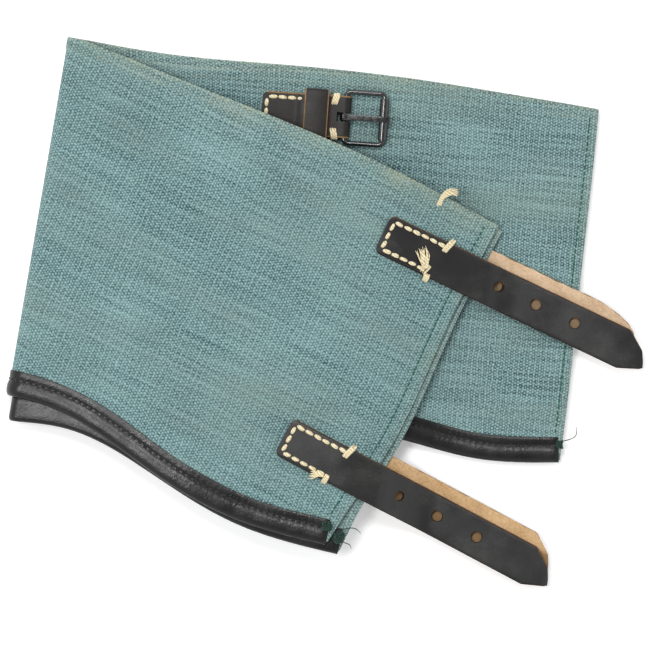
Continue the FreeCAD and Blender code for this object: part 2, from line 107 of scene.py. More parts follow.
ON_FRONT = raised(UPPER_FRONT, CANVAS)
UNDER_FRONT = raised(LOWER_FRONT, -STRAP_THICK)
STRAP_PROFILES = {
    "left_upper": with_drop(ON_FRONT, 72.5, (84.0, 8.0), (150.0, 8.0), (164.0, 5.6)),
    "left_lower": with_drop(ON_FRONT, LEFT_LOWER_TURN, (62.0, 5.8), (170.0, 5.8)),
    "right_upper": UNDER_FRONT,
    "right_lower": with_drop(UNDER_FRONT, RIGHT_LOWER_TURN, (62.0, 3.4), (170.0, 3.4)),
}

# Top and bound (bottom) edges run from the fold to the two ends of the open edge, which runs down.
EDGES = {
    "left_front": {
        "top": [(-122.0, 133.2), (-52.5, 104.8), (18.5, 75.0)],
        "open": [(83.0, 41.7), (56.0, -12.0), (30.0, -66.5), (13.7, -90.5), (-0.8, -113.0)],
        "bound": [(-168.0, -38.0), (-154.7, -40.5), (-130.1, -48.2), (-86.4, -76.7), (-43.6, -100.8)]},
    "right_front": {
        "top": [(-121.0, 127.5), (-53.0, 100.8), (19.0, 70.6)],
        "open": [(85.0, 39.0), (58.5, -13.5), (33.0, -68.0), (18.0, -92.0), (5.0, -117.6)],
        "bound": [(-164.0, -53.0), (-149.5, -53.5), (-127.9, -56.5), (-86.4, -77.8), (-43.6, -103.1)]},
    "left_back": {
        "top": [(-121.0, 133.2), (-75.0, 125.3), (-12.7, 119.5), (60.0, 110.8)],
        "open": [(132.7, 98.8), (129.3, 69.1), (122.6, 10.8), (117.0, -43.1), (112.5, -72.0)],
        "bound": [(-168.0, -38.0), (-154.7, -40.5), (-100.0, -46.0), (35.0, -60.0), (73.0, -70.0)]},
    "right_back": {
        "top": [(-118.0, 127.5), (-75.0, 120.6), (-12.7, 117.2), (60.0, 109.8)],
        "open": [(132.5, 98.0), (129.6, 69.1), (123.0, 10.8), (117.3, -43.1), (113.4, -73.4)],
        "bound": [(-164.0, -53.0), (-149.5, -53.5), (-100.0, -51.0), (35.6, -61.9), (73.0, -71.5)]},
}
HEM_INSET = {"front": 5.6, "back": 3.6}             # row of stitches, from the open edge
TOP_HEM = 5.2
# Share of the way up the cloth of each row of its mesh: closer together over the top hem.
ROWS = np.concatenate([np.linspace(0, 0.948, 70), np.linspace(0.9515, 1, 16)])


def travelled(points):
    """Distance along a line of points, at each of them."""
    return np.concatenate([[0], np.cumsum(np.linalg.norm(np.diff(points, axis=0), axis=1))])


def spline(points, count=240):
    """Natural cubic through the points, by chord length."""
    p = np.array(points, float)
    t = travelled(p)
    n = len(p)
    h = np.diff(t)
    a, b = np.eye(n), np.zeros((n, p.shape[1]))
    for i in range(1, n - 1):
        a[i, i - 1:i + 2] = h[i - 1], 2 * (h[i - 1] + h[i]), h[i]
        b[i] = 6 * ((p[i + 1] - p[i]) / h[i] - (p[i] - p[i - 1]) / h[i - 1])
    m = np.linalg.solve(a, b)
    s = np.linspace(0, t[-1], count)
    k = np.clip(np.searchsorted(t, s, side="right") - 1, 0, n - 2)
    left, done = (t[k + 1] - s)[:, None], (s - t[k])[:, None]
    hk = h[k][:, None]
    return (m[k] * left ** 3 + m[k + 1] * done ** 3) / (6 * hk) + (p[k] / hk - m[k] * hk / 6) * left \
        + (p[k + 1] / hk - m[k + 1] * hk / 6) * done


def walk(line, count):
    """The line's points, evenly spaced along it."""
    d = travelled(line)
    s = np.linspace(0, d[-1], count)
    return np.stack([np.interp(s, d, line[:, k]) for k in range(line.shape[1])], 1)


def smooth(x):
    """Eased step from 0 to 1."""
    x = np.clip(x, 0, 1)
    return x * x * (3 - 2 * x)


def ripple(u, v):
    """The cloth's slight waviness, the same in every layer so that they stay apart."""
    w = 0.16 * np.sin(u / 17.0 + 1.3 + v / 61.0) + 0.12 * np.sin(v / 13.5 - u / 47.0) \
        + 0.07 * np.sin(u / 7.3 + v / 9.1 + 0.6)
    return w * smooth((u - FOLD - 4) / 40)


def to_frame(points):
    """Design millimetres to metres in the row frame."""
    return (np.asarray(points, float) + SHIFT) / 1000


def to_xy(u, v):
    return u[..., None] * AWAY + v[..., None] * ALONG


class Gaiter:
    """One gaiter's canvas: places on it, and the curves of its edges in (c, v)."""

    def __init__(self, side, radius, back, front, outward):
        self.side, self.outward = side, outward
        self.radius = radius - HALF
        self.arc = pi * self.radius
        self.back, self.front = raised(back, HALF), raised(front, HALF)
        self.top, self.bound, self.open = {}, {}, {}
        for half in ("front", "back"):
            edges = EDGES[f"{side}_{half}"]
            corners = {"top": edges["open"][:1], "open": [], "bound": edges["open"][-1:]}
            for name, points in edges.items():
                line = spline(points + corners[name])
                u, v = line @ AWAY, line @ ALONG
                c = self.arc + u - FOLD if half == "front" else FOLD - u
                getattr(self, name)[half] = np.stack([c, v], 1)

    def middle(self, c, v):
        """(u, z) of the cloth's middle surface."""
        c = np.asarray(c, float)
        t = np.clip(c / self.radius, 0, pi)
        u = FOLD - self.radius * np.sin(t)
        z = FOLD_CENTRE - self.radius * np.cos(t)
        lift = self.front[0][1] - float(eased(self.front, FOLD))
        over, under = np.maximum(c - self.arc, 0), np.maximum(-c, 0)
        uf = FOLD + over
        zf = eased(self.front, uf) + lift * np.exp(-over / 9) + ripple(uf, v)
        ub = FOLD + under
        zb = eased(self.back, ub) + ripple(ub, v)
        u = np.where(c > self.arc, uf, np.where(c < 0, ub, u))
        z = np.where(c > self.arc, zf, np.where(c < 0, zb, z))
        return u, z

    def place(self, c, v, out=0.0):
        """Design XYZ of a place on the cloth, out millimetres to its outer side."""
        c, v = np.asarray(c, float), np.asarray(v, float)
        u, z = self.middle(c, v)
        u1, z1 = self.middle(c + 0.4, v)
        u0, z0 = self.middle(c - 0.4, v)
        size = np.hypot(u1 - u0, z1 - z0)
        u = u - self.outward * (z1 - z0) / size * out
        z = z + self.outward * (u1 - u0) / size * out
        return np.concatenate([to_xy(u, v), z[..., None]], -1)

    def edge_v(self, edge, c):
        """v of the top or bound edge at c, with the corner at the fold rounded."""
        front, back = edge["front"], edge["back"]

        def at(c):
            vf = np.interp(c, front[:, 0], front[:, 1])
            vb = np.interp(-c, -back[:, 0], back[:, 1])
            vf0 = np.interp(self.arc, front[:, 0], front[:, 1])
            vb0 = np.interp(0, -back[:, 0], back[:, 1])
            share = np.clip(c / self.arc, 0, 1)
            return np.where(c > self.arc, vf, np.where(c < 0, vb, vb0 + (vf0 - vb0) * share))

        reach = 7 * np.clip(1 - np.abs(c - self.arc / 2) / 70, 0, 1)
        return sum(at(c + o * reach) for o in np.linspace(-1, 1, 9)) / 9

    def top_v(self, c):
        return self.edge_v(self.top, c)

    def bound_v(self, c):
        return self.edge_v(self.bound, c)

    def patch(self, half, columns, inset):
        """(c, v) grid of the back or front cloth, from the strip's edge to the open edge."""
        start = self.arc + STRIP_MARGIN if half == "front" else -STRIP_MARGIN
        rows = len(ROWS)
        s, q = np.linspace(0, 1, columns)[:, None], ROWS[None, :]
        even = walk(self.open[half], 400)[::-1]
        opening = np.stack([np.interp(ROWS, np.linspace(0, 1, 400), even[:, k]) for k in (0, 1)], 1)
        top_c = start + (opening[-1, 0] - start) * s
        low_c = start + (opening[0, 0] - start) * s
        top_line = np.concatenate([top_c, self.top_v(top_c)], 1)[:, None]
        low_line = np.concatenate([low_c, self.bound_v(low_c) + inset], 1)[:, None]
        first = np.stack([np.full(rows, start), low_line[0, 0, 1]
                          + (top_line[0, 0, 1] - low_line[0, 0, 1]) * q[0]], 1)[None]
        opening[0] = low_line[-1, 0]
        opening[-1] = top_line[-1, 0]
        s, q = s[..., None], q[..., None]
        return (1 - q) * low_line + q * top_line + (1 - s) * first + s * opening[None] \
            - (1 - s) * ((1 - q) * low_line[0] + q * top_line[0]) \
            - s * ((1 - q) * low_line[-1] + q * top_line[-1])

    def strip(self, columns, inset):
        """(c, v) grid of the cloth that bends round the fold."""
        c = np.linspace(-STRIP_MARGIN, self.arc + STRIP_MARGIN, columns)[:, None]
        q = ROWS[None, :]
        low, top = self.bound_v(c) + inset, self.top_v(c)
        return np.stack(np.broadcast_arrays(c, low + (top - low) * q), -1)


GAITERS = {
    "left": Gaiter("left", 6.5, LOWER_BACK, UPPER_FRONT, 1),
    "right": Gaiter("right", 3.5, UPPER_BACK, LOWER_FRONT, -1),
}


# ---------------------------------------------------------------- materials
class Shader:
    """A material's node tree with short calls."""

    def __init__(self, name, **settings):
        self.material = bpy.data.materials.new(name)
        self.material.use_nodes = True
        self.tree = self.material.node_tree
        self.tree.nodes.clear()
        self.surface = self.node("ShaderNodeBsdfPrincipled", **settings)
        output = self.node("ShaderNodeOutputMaterial")
        self.tree.links.new(self.surface.outputs[0], output.inputs["Surface"])

    def node(self, kind, props=None, **inputs):
        made = self.tree.nodes.new(kind)
        for key, value in (props or {}).items():
            setattr(made, key, value)
        for key, value in inputs.items():
            self.put(made, key, value)
        return made

    def put(self, made, key, value):
        socket = made.inputs[int(key[1:])] if key[0] == "_" else made.inputs[key.replace("_", " ")]
        if isinstance(value, bpy.types.NodeSocket):
            self.tree.links.new(value, socket)
        elif isinstance(value, tuple) and len(value) == 3 and socket.type == "RGBA":
            socket.default_value = (*value, 1)
        else:
            socket.default_value = value

    def math(self, operation, a, b=0.5, clamp=False):
        made = self.node("ShaderNodeMath", {"operation": operation, "use_clamp": clamp}, _0=a, _1=b)
        return made.outputs[0]

    def add(self, a, b):
        return self.math("ADD", a, b)

    def times(self, a, b):
        return self.math("MULTIPLY", a, b)

    def weigh(self, a, share_a, b, share_b):
        return self.add(self.times(a, share_a), self.times(b, share_b))

    def noise(self, vector, scale, detail=3.0, roughness=0.55):
        return self.node("ShaderNodeTexNoise", Vector=vector, Scale=scale, Detail=detail,
                         Roughness=roughness).outputs["Fac"]

    def stretch(self, vector, x, y, z=1.0):
        return self.node("ShaderNodeMapping", Vector=vector, Scale=(x, y, z)).outputs[0]

    def remap(self, value, low, high, to_low=0.0, to_high=1.0):
        return self.node("ShaderNodeMapRange", _0=value, _1=low, _2=high, _3=to_low, _4=to_high).outputs[0]

    def mix(self, share, a, b):
        made = self.node("ShaderNodeMix", {"data_type": "RGBA"})
        self.put(made, "_0", share)
        for k, value in ((6, a), (7, b)):
            self.put(made, f"_{k}", value)
        return made.outputs[2]

    def finish(self, colour, height, strength, distance_mm):
        """Give the surface its colour and bump."""
        bump = self.node("ShaderNodeBump", Height=height, Strength=strength, Distance=distance_mm / 1000)
        self.put(self.surface, "Base Color", colour)
        self.put(self.surface, "Normal", bump.outputs[0])
        return self.material

    def attribute(self, name):
        return self.node("ShaderNodeAttribute", {"attribute_name": name}).outputs["Fac"]

    def uv(self):
        return self.node("ShaderNodeUVMap", {"uv_map": "cloth_mm"}).outputs[0]

    def object_mm(self):
        place = self.node("ShaderNodeTexCoord").outputs["Object"]
        return self.stretch(place, 1000, 1000, 1000)


# Yellowish tone of stained canvas, also mixed in as painted highlights along the top edges.
STAIN_AND_HIGHLIGHT_TONE = (0.33, 0.37, 0.27)


def canvas_material(name, light, dark, turn, spacing):
    """A heavy flecked weave: light yarn crowns in a hexagonal array over dark gaps, with slubs and blotches.
    The yarns run at turn degrees to the cloth's own c, spacing millimetres apart."""
    m = Shader(name, Roughness=0.93, Sheen_Weight=0.1, Sheen_Roughness=0.6, Specular_IOR_Level=0.12)
    uv = m.uv()
    wander = m.noise(m.stretch(uv, 0.12, 0.12), 1.0, 2.0)
    fine = m.noise(uv, 0.8, 2.0)
    parts = m.node("ShaderNodeSeparateXYZ", Vector=uv)
    shift = m.weigh(m.add(wander, -0.5), 2.2, m.add(fine, -0.5), 0.6)
    along = m.add(parts.outputs[0], shift)
    across = m.add(parts.outputs[1], m.times(shift, -0.8))

    def wave(angle, period):
        step = 2 * pi / period
        phase = m.weigh(along, cos(radians(angle)) * step, across, sin(radians(angle)) * step)
        return m.math("COSINE", phase)

    crowns = m.add(m.add(wave(turn, spacing), wave(turn + 60, spacing)), wave(turn - 60, spacing))
    pairs = wave(turn, 2 * spacing)
    fleck = m.noise(uv, 0.78, 3.0, 0.75)
    yarns = m.node("ShaderNodeMapping", Vector=uv, Rotation=(0.0, 0.0, radians(-turn))).outputs[0]
    slub = m.noise(m.stretch(yarns, 0.022, 0.72), 1.0, 2.0, 0.6)
    upright = m.noise(m.stretch(yarns, 0.6, 0.025), 1.0, 2.0, 0.6)
    blotch = m.noise(uv, 0.022, 3.0)
    tone = m.weigh(crowns, 0.20, pairs, 0.09)
    for part, weight in ((fleck, 1.7), (slub, 0.95), (upright, 0.15), (blotch, 0.4)):
        tone = m.add(tone, m.times(m.add(part, -0.5), weight))
    tone = m.math("ADD", tone, 0.5, clamp=True)
    colour = m.mix(tone, dark, light)
    tint = m.noise(m.stretch(yarns, 0.010, 0.035), 1.0, 3.0)
    colour = m.mix(m.remap(tint, 0.45, 0.72, 0.0, 0.3), colour,
                   tuple(c * f for c, f in zip(light, (0.72, 0.62, 0.50))))
    # The 'worn' share mixes in the yellowish tone: real staining, plus painted highlights at the top edge's
    # rim and along the top hem's fold.
    patchy = m.times(m.attribute("worn"), m.remap(m.noise(uv, 0.09, 3.0), 0.3, 0.7, 0.35, 1.25))
    colour = m.mix(m.math("MULTIPLY", patchy, m.remap(tone, 0, 1, 0.25, 0.95), clamp=True), colour, STAIN_AND_HIGHLIGHT_TONE)
    return m.finish(colour, m.weigh(crowns, 0.4, fleck, 0.8), 0.5, 0.25)


def leather_material(name, base, scuff, roughness, grain_mm, bump, scuffs=0.5, crease=0.0, specular=0.5):
    """Dressed leather: fine grain, faint scuffs, and polished patches."""
    m = Shader(name, Specular_IOR_Level=specular)
    where = m.object_mm()
    grain = m.noise(where, 1 / grain_mm, 4.0, 0.65)
    cells = m.node("ShaderNodeTexVoronoi", {"feature": "F1"}, Vector=where,
                   Scale=1.4 / grain_mm).outputs["Distance"]
    patch = m.noise(where, 0.07, 3.0)
    scratch = m.noise(m.stretch(where, 0.5, 0.9, 0.5), 1.0, 4.0, 0.75)
    rub = m.remap(m.weigh(scratch, 0.5, patch, 0.6), 0.56, 0.78, 0.0, scuffs)
    dull = m.weigh(patch, 0.7, grain, 0.3)
    m.put(m.surface, "Roughness", m.remap(dull, 0.3, 0.7, roughness - 0.1, roughness + 0.12))
    height = m.add(grain, m.times(cells, 0.6))
    if crease:
        folds = m.noise(m.stretch(where, 0.42, 0.3, 0.42), 1.0, 3.0, 0.6)
        height = m.add(height, m.times(folds, crease))
    return m.finish(m.mix(rub, base, scuff), height, bump, 0.35)


def flesh_material(name, base, dark, scale=1.1):
    """The fibrous side or cut edge of leather, with painted shade darkening it where the straps overlap."""
    m = Shader(name, Roughness=0.92, Specular_IOR_Level=0.2)
    where = m.object_mm()
    nap = m.noise(where, scale, 5.0, 0.7)
    cloud = m.noise(where, 0.11, 3.0)
    colour = m.mix(m.remap(m.weigh(nap, 0.9, cloud, 0.6), 0.5, 1.0), dark, base)
    # Painted shade: darker where the left strap lies over the right one.
    colour = m.mix(m.times(m.attribute("rubbed"), 0.8), colour, tuple(c * 0.45 for c in dark))
    return m.finish(colour, nap, 0.5, 0.4)


PLY = 0.9                   # between the twists of a thread


def thread_material(name, base, dark):
    """Twisted thread."""
    m = Shader(name, Roughness=0.75, Sheen_Weight=0.2, Specular_IOR_Level=0.25)
    where = m.object_mm()
    twist = m.node("ShaderNodeTexWave", {"wave_type": "BANDS", "bands_direction": "DIAGONAL"}, Vector=where,
                   Scale=0.35 / PLY, Distortion=2.5, Detail=2.0).outputs["Fac"]
    strands = m.add(twist, m.noise(where, 2.2, 3.0))
    return m.finish(m.mix(m.remap(strands, 0.45, 1.45), dark, base), strands, 0.4, 0.25)


def metal_material(name, base, chip, roughness):
    """Black-finished steel, worn brighter where it is handled."""
    m = Shader(name, Specular_IOR_Level=0.95)
    where = m.object_mm()
    patch = m.noise(where, 0.35, 4.0, 0.65)
    speck = m.noise(where, 2.4, 2.0)
    worn = m.remap(m.weigh(patch, 0.7, speck, 0.3), 0.60, 0.70, 0.0, 0.7)
    m.put(m.surface, "Roughness", m.remap(patch, 0.3, 0.7, roughness - 0.08, roughness + 0.12))
    return m.finish(m.mix(worn, base, chip), speck, 0.02, 0.1)


CLOTH = {
    "left": canvas_material("canvas_left", (0.262, 0.414, 0.412), (0.025, 0.060, 0.071), -15.6, 1.33),
    "right": canvas_material("canvas_right", (0.280, 0.432, 0.430), (0.023, 0.052, 0.062), -4.4, 1.27),
}
LINING = canvas_material("canvas_inner", (0.315, 0.465, 0.450), (0.040, 0.075, 0.085), -15.6, 1.33)
BINDING = leather_material("binding_leather", (0.006, 0.006, 0.006), (0.030, 0.029, 0.028), 0.31,
                           grain_mm=1.3, bump=0.24, scuffs=0.35, crease=1.1, specular=0.4)
GRAIN = leather_material("strap_grain", (0.0095, 0.0095, 0.0095), (0.046, 0.043, 0.039), 0.36,
                         grain_mm=0.8, bump=0.16)
FLESH = {
    "upper": flesh_material("strap_flesh_pale", (0.70, 0.53, 0.37), (0.40, 0.26, 0.145)),
    "lower": flesh_material("strap_flesh_tan", (0.66, 0.45, 0.25), (0.36, 0.21, 0.095)),
}
CUT_EDGE = flesh_material("leather_edge", (0.37, 0.225, 0.105), (0.10, 0.05, 0.022), 1.6)
DARK_EDGE = flesh_material("dyed_edge", (0.16, 0.075, 0.03), (0.010, 0.008, 0.007), 0.9)
CHAPE = leather_material("chape_leather", (0.010, 0.0085, 0.007), (0.045, 0.033, 0.024), 0.48,
                         grain_mm=0.8, bump=0.18, scuffs=0.45, specular=0.3)
CREAM = thread_material("waxed_thread", (0.86, 0.77, 0.53), (0.52, 0.42, 0.24))
KNOT = thread_material("knotted_thread", (0.010, 0.050, 0.034), (0.003, 0.014, 0.010))
GREEN = thread_material("green_thread", (0.012, 0.130, 0.082), (0.005, 0.048, 0.033))
BLACK = thread_material("black_thread", (0.020, 0.020, 0.021), (0.004, 0.004, 0.004))
STEEL = metal_material("buckle_metal", (0.005, 0.005, 0.0055), (0.035, 0.032, 0.030), 0.17)
TUBE = metal_material("roller_metal", (0.006, 0.006, 0.0065), (0.05, 0.047, 0.045), 0.17)


# ---------------------------------------------------------------- meshes
def make_object(name, vertices, faces, materials, indices=None, normals=None, sharp=None):
    mesh = bpy.data.meshes.new(name)
    mesh.from_pydata([tuple(p) for p in to_frame(vertices)], [], faces)
    for material in materials:
        mesh.materials.append(material)
    mesh.polygons.foreach_set("use_smooth", [True] * len(mesh.polygons))
    if indices is not None:
        mesh.polygons.foreach_set("material_index", indices)
    skin = bmesh.new()
    skin.from_mesh(mesh)
    bmesh.ops.recalc_face_normals(skin, faces=skin.faces)
    skin.to_mesh(mesh)
    skin.free()
    if sharp is not None:
        mesh.set_sharp_from_angle(angle=radians(sharp))
    if normals is not None:
        own = np.array([tuple(v.normal) for v in mesh.vertices])
        normals = normals * np.sign((own * normals).sum())
        mesh.normals_split_custom_set_from_vertices([tuple(n) for n in normals])
    mesh.update()
    obj = bpy.data.objects.new(name, mesh)
    bpy.context.scene.collection.objects.link(obj)
    return obj


def unit(vectors):
    return vectors / np.maximum(np.linalg.norm(vectors, axis=-1, keepdims=True), 1e-12)


def loft(stations, cap_first, cap_last):
    """Closed loops of points, one per station, joined into a skin. Caps are lists of index polygons."""
    count, around = stations.shape[:2]
    base = np.arange(count * around).reshape(count, around)
    nxt = np.roll(base, -1, 1)
    faces = np.stack([base[:-1], base[1:], nxt[1:], nxt[:-1]], -1).reshape(-1, 4).tolist()
    faces += [[int(base[0, k]) for k in p] for p in cap_first]
    faces += [[int(base[-1, k]) for k in reversed(p)] for p in cap_last]
    return stations.reshape(-1, 3), faces


def side_faces(rings, around, first=0, closed=False):
    """Quads between rings of points; closed also joins the last ring to the first."""
    return [[first + i * around + k, first + i * around + (k + 1) % around,
             first + (i + 1) % rings * around + (k + 1) % around, first + (i + 1) % rings * around + k]
            for i in range(rings if closed else rings - 1) for k in range(around)]


def tube_faces(rings, around, first=0):
    """The sides and both ends of a tube."""
    last = first + (rings - 1) * around
    return side_faces(rings, around, first) + [[first + k for k in reversed(range(around))],
                                               [last + k for k in range(around)]]


def folded_cap(around):
    """Polygons across a loop that goes out along one face and back along the other."""
    return [[k, k + 1, around - 2 - k, around - 1 - k] for k in range(around // 2 - 1)]


def end_cap(row, rim):
    """Polygons across a loop made of a row of points, a rim, the row of the other face, and a rim back."""
    across = [2 * row + rim - 1 - j for j in range(row)]
    n = 2 * (row + rim)
    cap = [[j, across[j], across[j + 1], j + 1] for j in range(row - 1)]
    return cap + [[row - 1, across[row - 1], *range(row + rim - 1, row - 1, -1)],
                  [0, *range(n - 1, n - rim - 1, -1), across[0]]]


def paint(obj, name, shares):
    """A share from 0 to 1 at each point of a piece, for its materials."""
    obj.data.attributes.new(name, "FLOAT", "POINT").data.foreach_set("value", shares.astype(np.float32))


RIM = [radians(a) for a in (36, 72, 108, 144)]          # round a top or bound edge
TAPER = [radians(a) for a in (30, 60, 84)]              # round an open edge


def cloth_part(name, gaiter, grid, half):
    """A thick piece of canvas over a (c, v) grid. Its first column meets the next piece; a front or back
    half ends in a rounded rim at the open edge, and a strip meets a piece at both ends."""
    rows = grid.shape[1]
    columns = [2 * grid[0] - grid[1], *grid]            # the spare outer columns only serve the normals
    if half:
        step = unit(grid[-1] - grid[-2])
        columns += [grid[-1] + step * HALF * sin(a) for a in TAPER]
        own = slice(1, None)
    else:
        columns.append(2 * grid[-1] - grid[-2])
        own = slice(1, -1)
    columns = np.array(columns)
    thick = np.ones((len(columns), 1))
    if half:
        thick[-len(TAPER):, 0] = [cos(a) for a in TAPER]
    c, v = columns[..., 0], columns[..., 1]
    swell = hem_swell(gaiter, half, c, v)
    outer = gaiter.place(c, v, (HALF + swell) * thick)
    inner = gaiter.place(c, v, -HALF * thick)

    def rim(row, beyond, height):
        """The rounded edge beyond a row, at a height for each angle."""
        return np.stack([gaiter.place(c[:, row] + beyond[:, 0] * HALF * sin(a) * thick[:, 0],
                                      v[:, row] + beyond[:, 1] * HALF * sin(a) * thick[:, 0],
                                      height(a) * thick[:, 0]) for a in RIM], 1)

    top_rim = rim(-1, unit(columns[:, -1] - columns[:, -2]),
                  lambda a: HALF * cos(a) + swell[:, -1] * (1 + cos(a)) / 2)
    low_rim = rim(0, unit(columns[:, 0] - columns[:, 1]), lambda a: -HALF * cos(a))
    loops = np.concatenate([outer, top_rim, inner[:, ::-1], low_rim], 1)
    ahead = np.gradient(loops, axis=0)
    around = np.roll(loops, -1, 1) - np.roll(loops, 1, 1)
    normals = unit(np.cross(ahead, around)) * gaiter.outward
    loops, normals = loops[own], normals[own]
    flat = np.concatenate([columns, np.repeat(columns[:, -1:], len(RIM), 1), columns[:, ::-1],
                           np.repeat(columns[:, :1], len(RIM), 1)], 1)[own]
    cap = end_cap(rows, len(RIM))
    points, faces = loft(loops, cap, cap)
    if gaiter.outward > 0:
        faces = [f[::-1] for f in faces]
    lined = np.zeros(loops.shape[1], int)
    lined[rows + 2:2 * rows + 6] = 1
    tags = np.tile(lined, len(loops) - 1).tolist() + [0] * (2 * len(cap))
    obj = make_object(name, points, faces, [CLOTH[gaiter.side], LINING], tags, normals.reshape(-1, 3))
    layer = obj.data.uv_layers.new(name="cloth_mm")
    index = np.zeros(len(obj.data.loops), int)
    obj.data.loops.foreach_get("vertex_index", index)
    layer.data.foreach_set("uv", flat.reshape(-1, 2)[index].ravel())
    # The 'worn' attribute holds real staining and painted highlights along the top edge.
    paint(obj, "worn", stain_and_painted_highlight(gaiter, half, flat[..., 0], flat[..., 1]).ravel())
    return obj


def nearest(line, c, v):
    """Distance from each place to a line of points."""
    p = np.stack([c, v], -1)
    best = np.full(c.shape, 1e9)
    for a, b in zip(line[:-1], line[1:]):
        d = b - a
        t = np.clip(((p - a) @ d) / (d @ d), 0, 1)
        best = np.minimum(best, np.linalg.norm(p - (a + t[..., None] * d), axis=-1))
    return best


def hem_swell(gaiter, half, c, v):
    """The hem's second layer raises the outer face up to its line of stitches, which pull it in."""
    top = 0.36 * (1 - smooth((gaiter.top_v(c) - v - TOP_HEM + 0.3) / 0.9))
    if not half:
        return top
    d = nearest(walk(gaiter.open[half], 40), c, v)
    inset = HEM_INSET[half]
    side = 0.34 * (1 - smooth((d - inset - 0.6) / 1.6)) - 0.22 * np.exp(-((d - inset) / 0.8) ** 2)
    return np.maximum(top, side) + np.minimum(side, 0)


def stain_and_painted_highlight(gaiter, half, c, v):
    """Share of the yellowish tone. It is a real stain, strong along the left front's top edge and faint on
    the others, with more of the tone towards the open edge. It also paints highlights as light lines at the
    top edge's rim and along the top hem's fold.
    """
    from_top = gaiter.top_v(c) - v
    down = np.maximum(from_top, 0)
    # A stain band under the top edge, and a painted highlight: a light line along the top hem's fold.
    worn = 0.28 * np.exp(-down / 3) + 0.3 * np.exp(-((from_top - TOP_HEM + 0.5) / 0.55) ** 2)
    # Painted highlight: a narrow light line where the top edge's rim catches the light.
    worn = worn + 0.35 * np.exp(-down / 0.7)
    if gaiter.side == "left":
        on_front = smooth((c - gaiter.arc * 0.4) / 40)
        band = np.exp(-np.maximum(from_top - 1.0, 0) / 7.5)
        stretch = 0.55 + 0.45 * np.sin(c / 23.0 + 0.8) * np.sin(c / 9.0)
        worn = worn + on_front * band * 0.6 * stretch
    if half:
        d = nearest(walk(gaiter.open[half], 40), c, v)
        worn = worn + 0.3 * np.exp(-d / 2.5)
    return np.clip(worn, 0, 1)


# (inset from the bound edge, height from the canvas's middle) round the folded leather
BINDING_LOOP = [(12.0, 0.42), (12.05, 1.02), (11.7, 1.24), (10.4, 1.28), (9.0, 1.22), (8.4, 1.06),
                (7.9, 0.84), (7.4, 1.02), (6.6, 1.40), (5.0, 1.70), (3.2, 1.76), (1.6, 1.58), (0.5, 1.20),
                (-0.2, 0.68), (-0.5, 0.0), (-0.2, -0.62), (0.5, -1.04), (1.6, -1.26), (4.0, -1.30),
                (7.6, -1.26), (8.4, -1.29), (11.6, -1.27), (12.0, -1.05), (12.0, -0.42)]
TRIM_ROW = 7.9              # row of stitches, from the bound edge
TRIM_STITCHES = {"out": 0.90, "pitch": 3.2, "long": 2.4, "width": 0.95, "height": 0.55}
HEM_STITCHES = {"out": HALF + 0.12, "pitch": 2.9, "long": 2.5, "width": 0.8, "height": 0.5}


def inward(line):
    """Unit normals of an edge line, pointing up the cloth."""
    d = np.gradient(line, axis=0)
    n = unit(np.stack([-d[:, 1], d[:, 0]], 1))
    return n * np.where(n[:, 1:] < 0, -1, 1)


def edge_span(gaiter, half):
    """The bound edge with its normals, for a half or, with None, for the fold's strip."""
    low = min(gaiter.open["back"][-1, 0], 0)
    high = gaiter.open["front"][-1, 0]
    c = np.arange(low, high, 0.8)
    whole = np.stack([c, gaiter.bound_v(c)], 1)
    normals = inward(whole)
    bounds = {"back": (low, -STRIP_MARGIN), None: (-STRIP_MARGIN, gaiter.arc + STRIP_MARGIN),
              "front": (gaiter.arc + STRIP_MARGIN, high)}[half]
    count = max(int((bounds[1] - bounds[0]) / 0.8), 8)
    at = np.linspace(*bounds, count)
    line = np.stack([at, gaiter.bound_v(at)], 1)
    return line, unit(np.stack([np.interp(at, c, normals[:, k]) for k in (0, 1)], 1))


def binding_part(name, gaiter, half):
    """Leather folded round the bound edge, drawn in a little at each stitch."""
    line, normals = edge_span(gaiter, half)
    d, n = np.array(BINDING_LOOP).T
    s = line[:, 0][:, None]
    roll = smooth((7.4 - d) / 2)[None] * (n > 0)[None]
    puff = 0.05 * np.sin(s / 2.1 + np.sin(s / 5.3)) + 0.05 * np.sin(s / 4.7 + 1.1)
    lip = 0.12 * np.sin(s / 8.3) * (d > 11)[None]
    ends = np.ones(len(line))
    if half:
        open_end = -1 if half == "front" else 0
        fade = np.abs(line[:, 0] - line[open_end, 0])
        ends = 1 - 0.35 * np.exp(-(fade / 1.2) ** 2)
    pull = 0.5 + 0.5 * np.cos(2 * pi * s / TRIM_STITCHES["pitch"])
    pucker = (0.14 * pull * np.exp(-((d - 7.3) / 0.7) ** 2)
              + 0.12 * pull * np.exp(-((d - 9.2) / 1.0) ** 2)) * (n > 0)
    height = (n[None] + roll * puff - pucker) * ends[:, None]
    inset = d[None] + lip
    loops = gaiter.place(line[:, :1] + normals[:, :1] * inset, line[:, 1:] + normals[:, 1:] * inset, height)
    cap = [p[::-1] for p in folded_cap(len(BINDING_LOOP))]
    points, faces = loft(loops, cap, cap)
    if gaiter.outward < 0:
        faces = [f[::-1] for f in faces]
    obj = make_object(name, points, faces, [BINDING], sharp=50)
    return obj


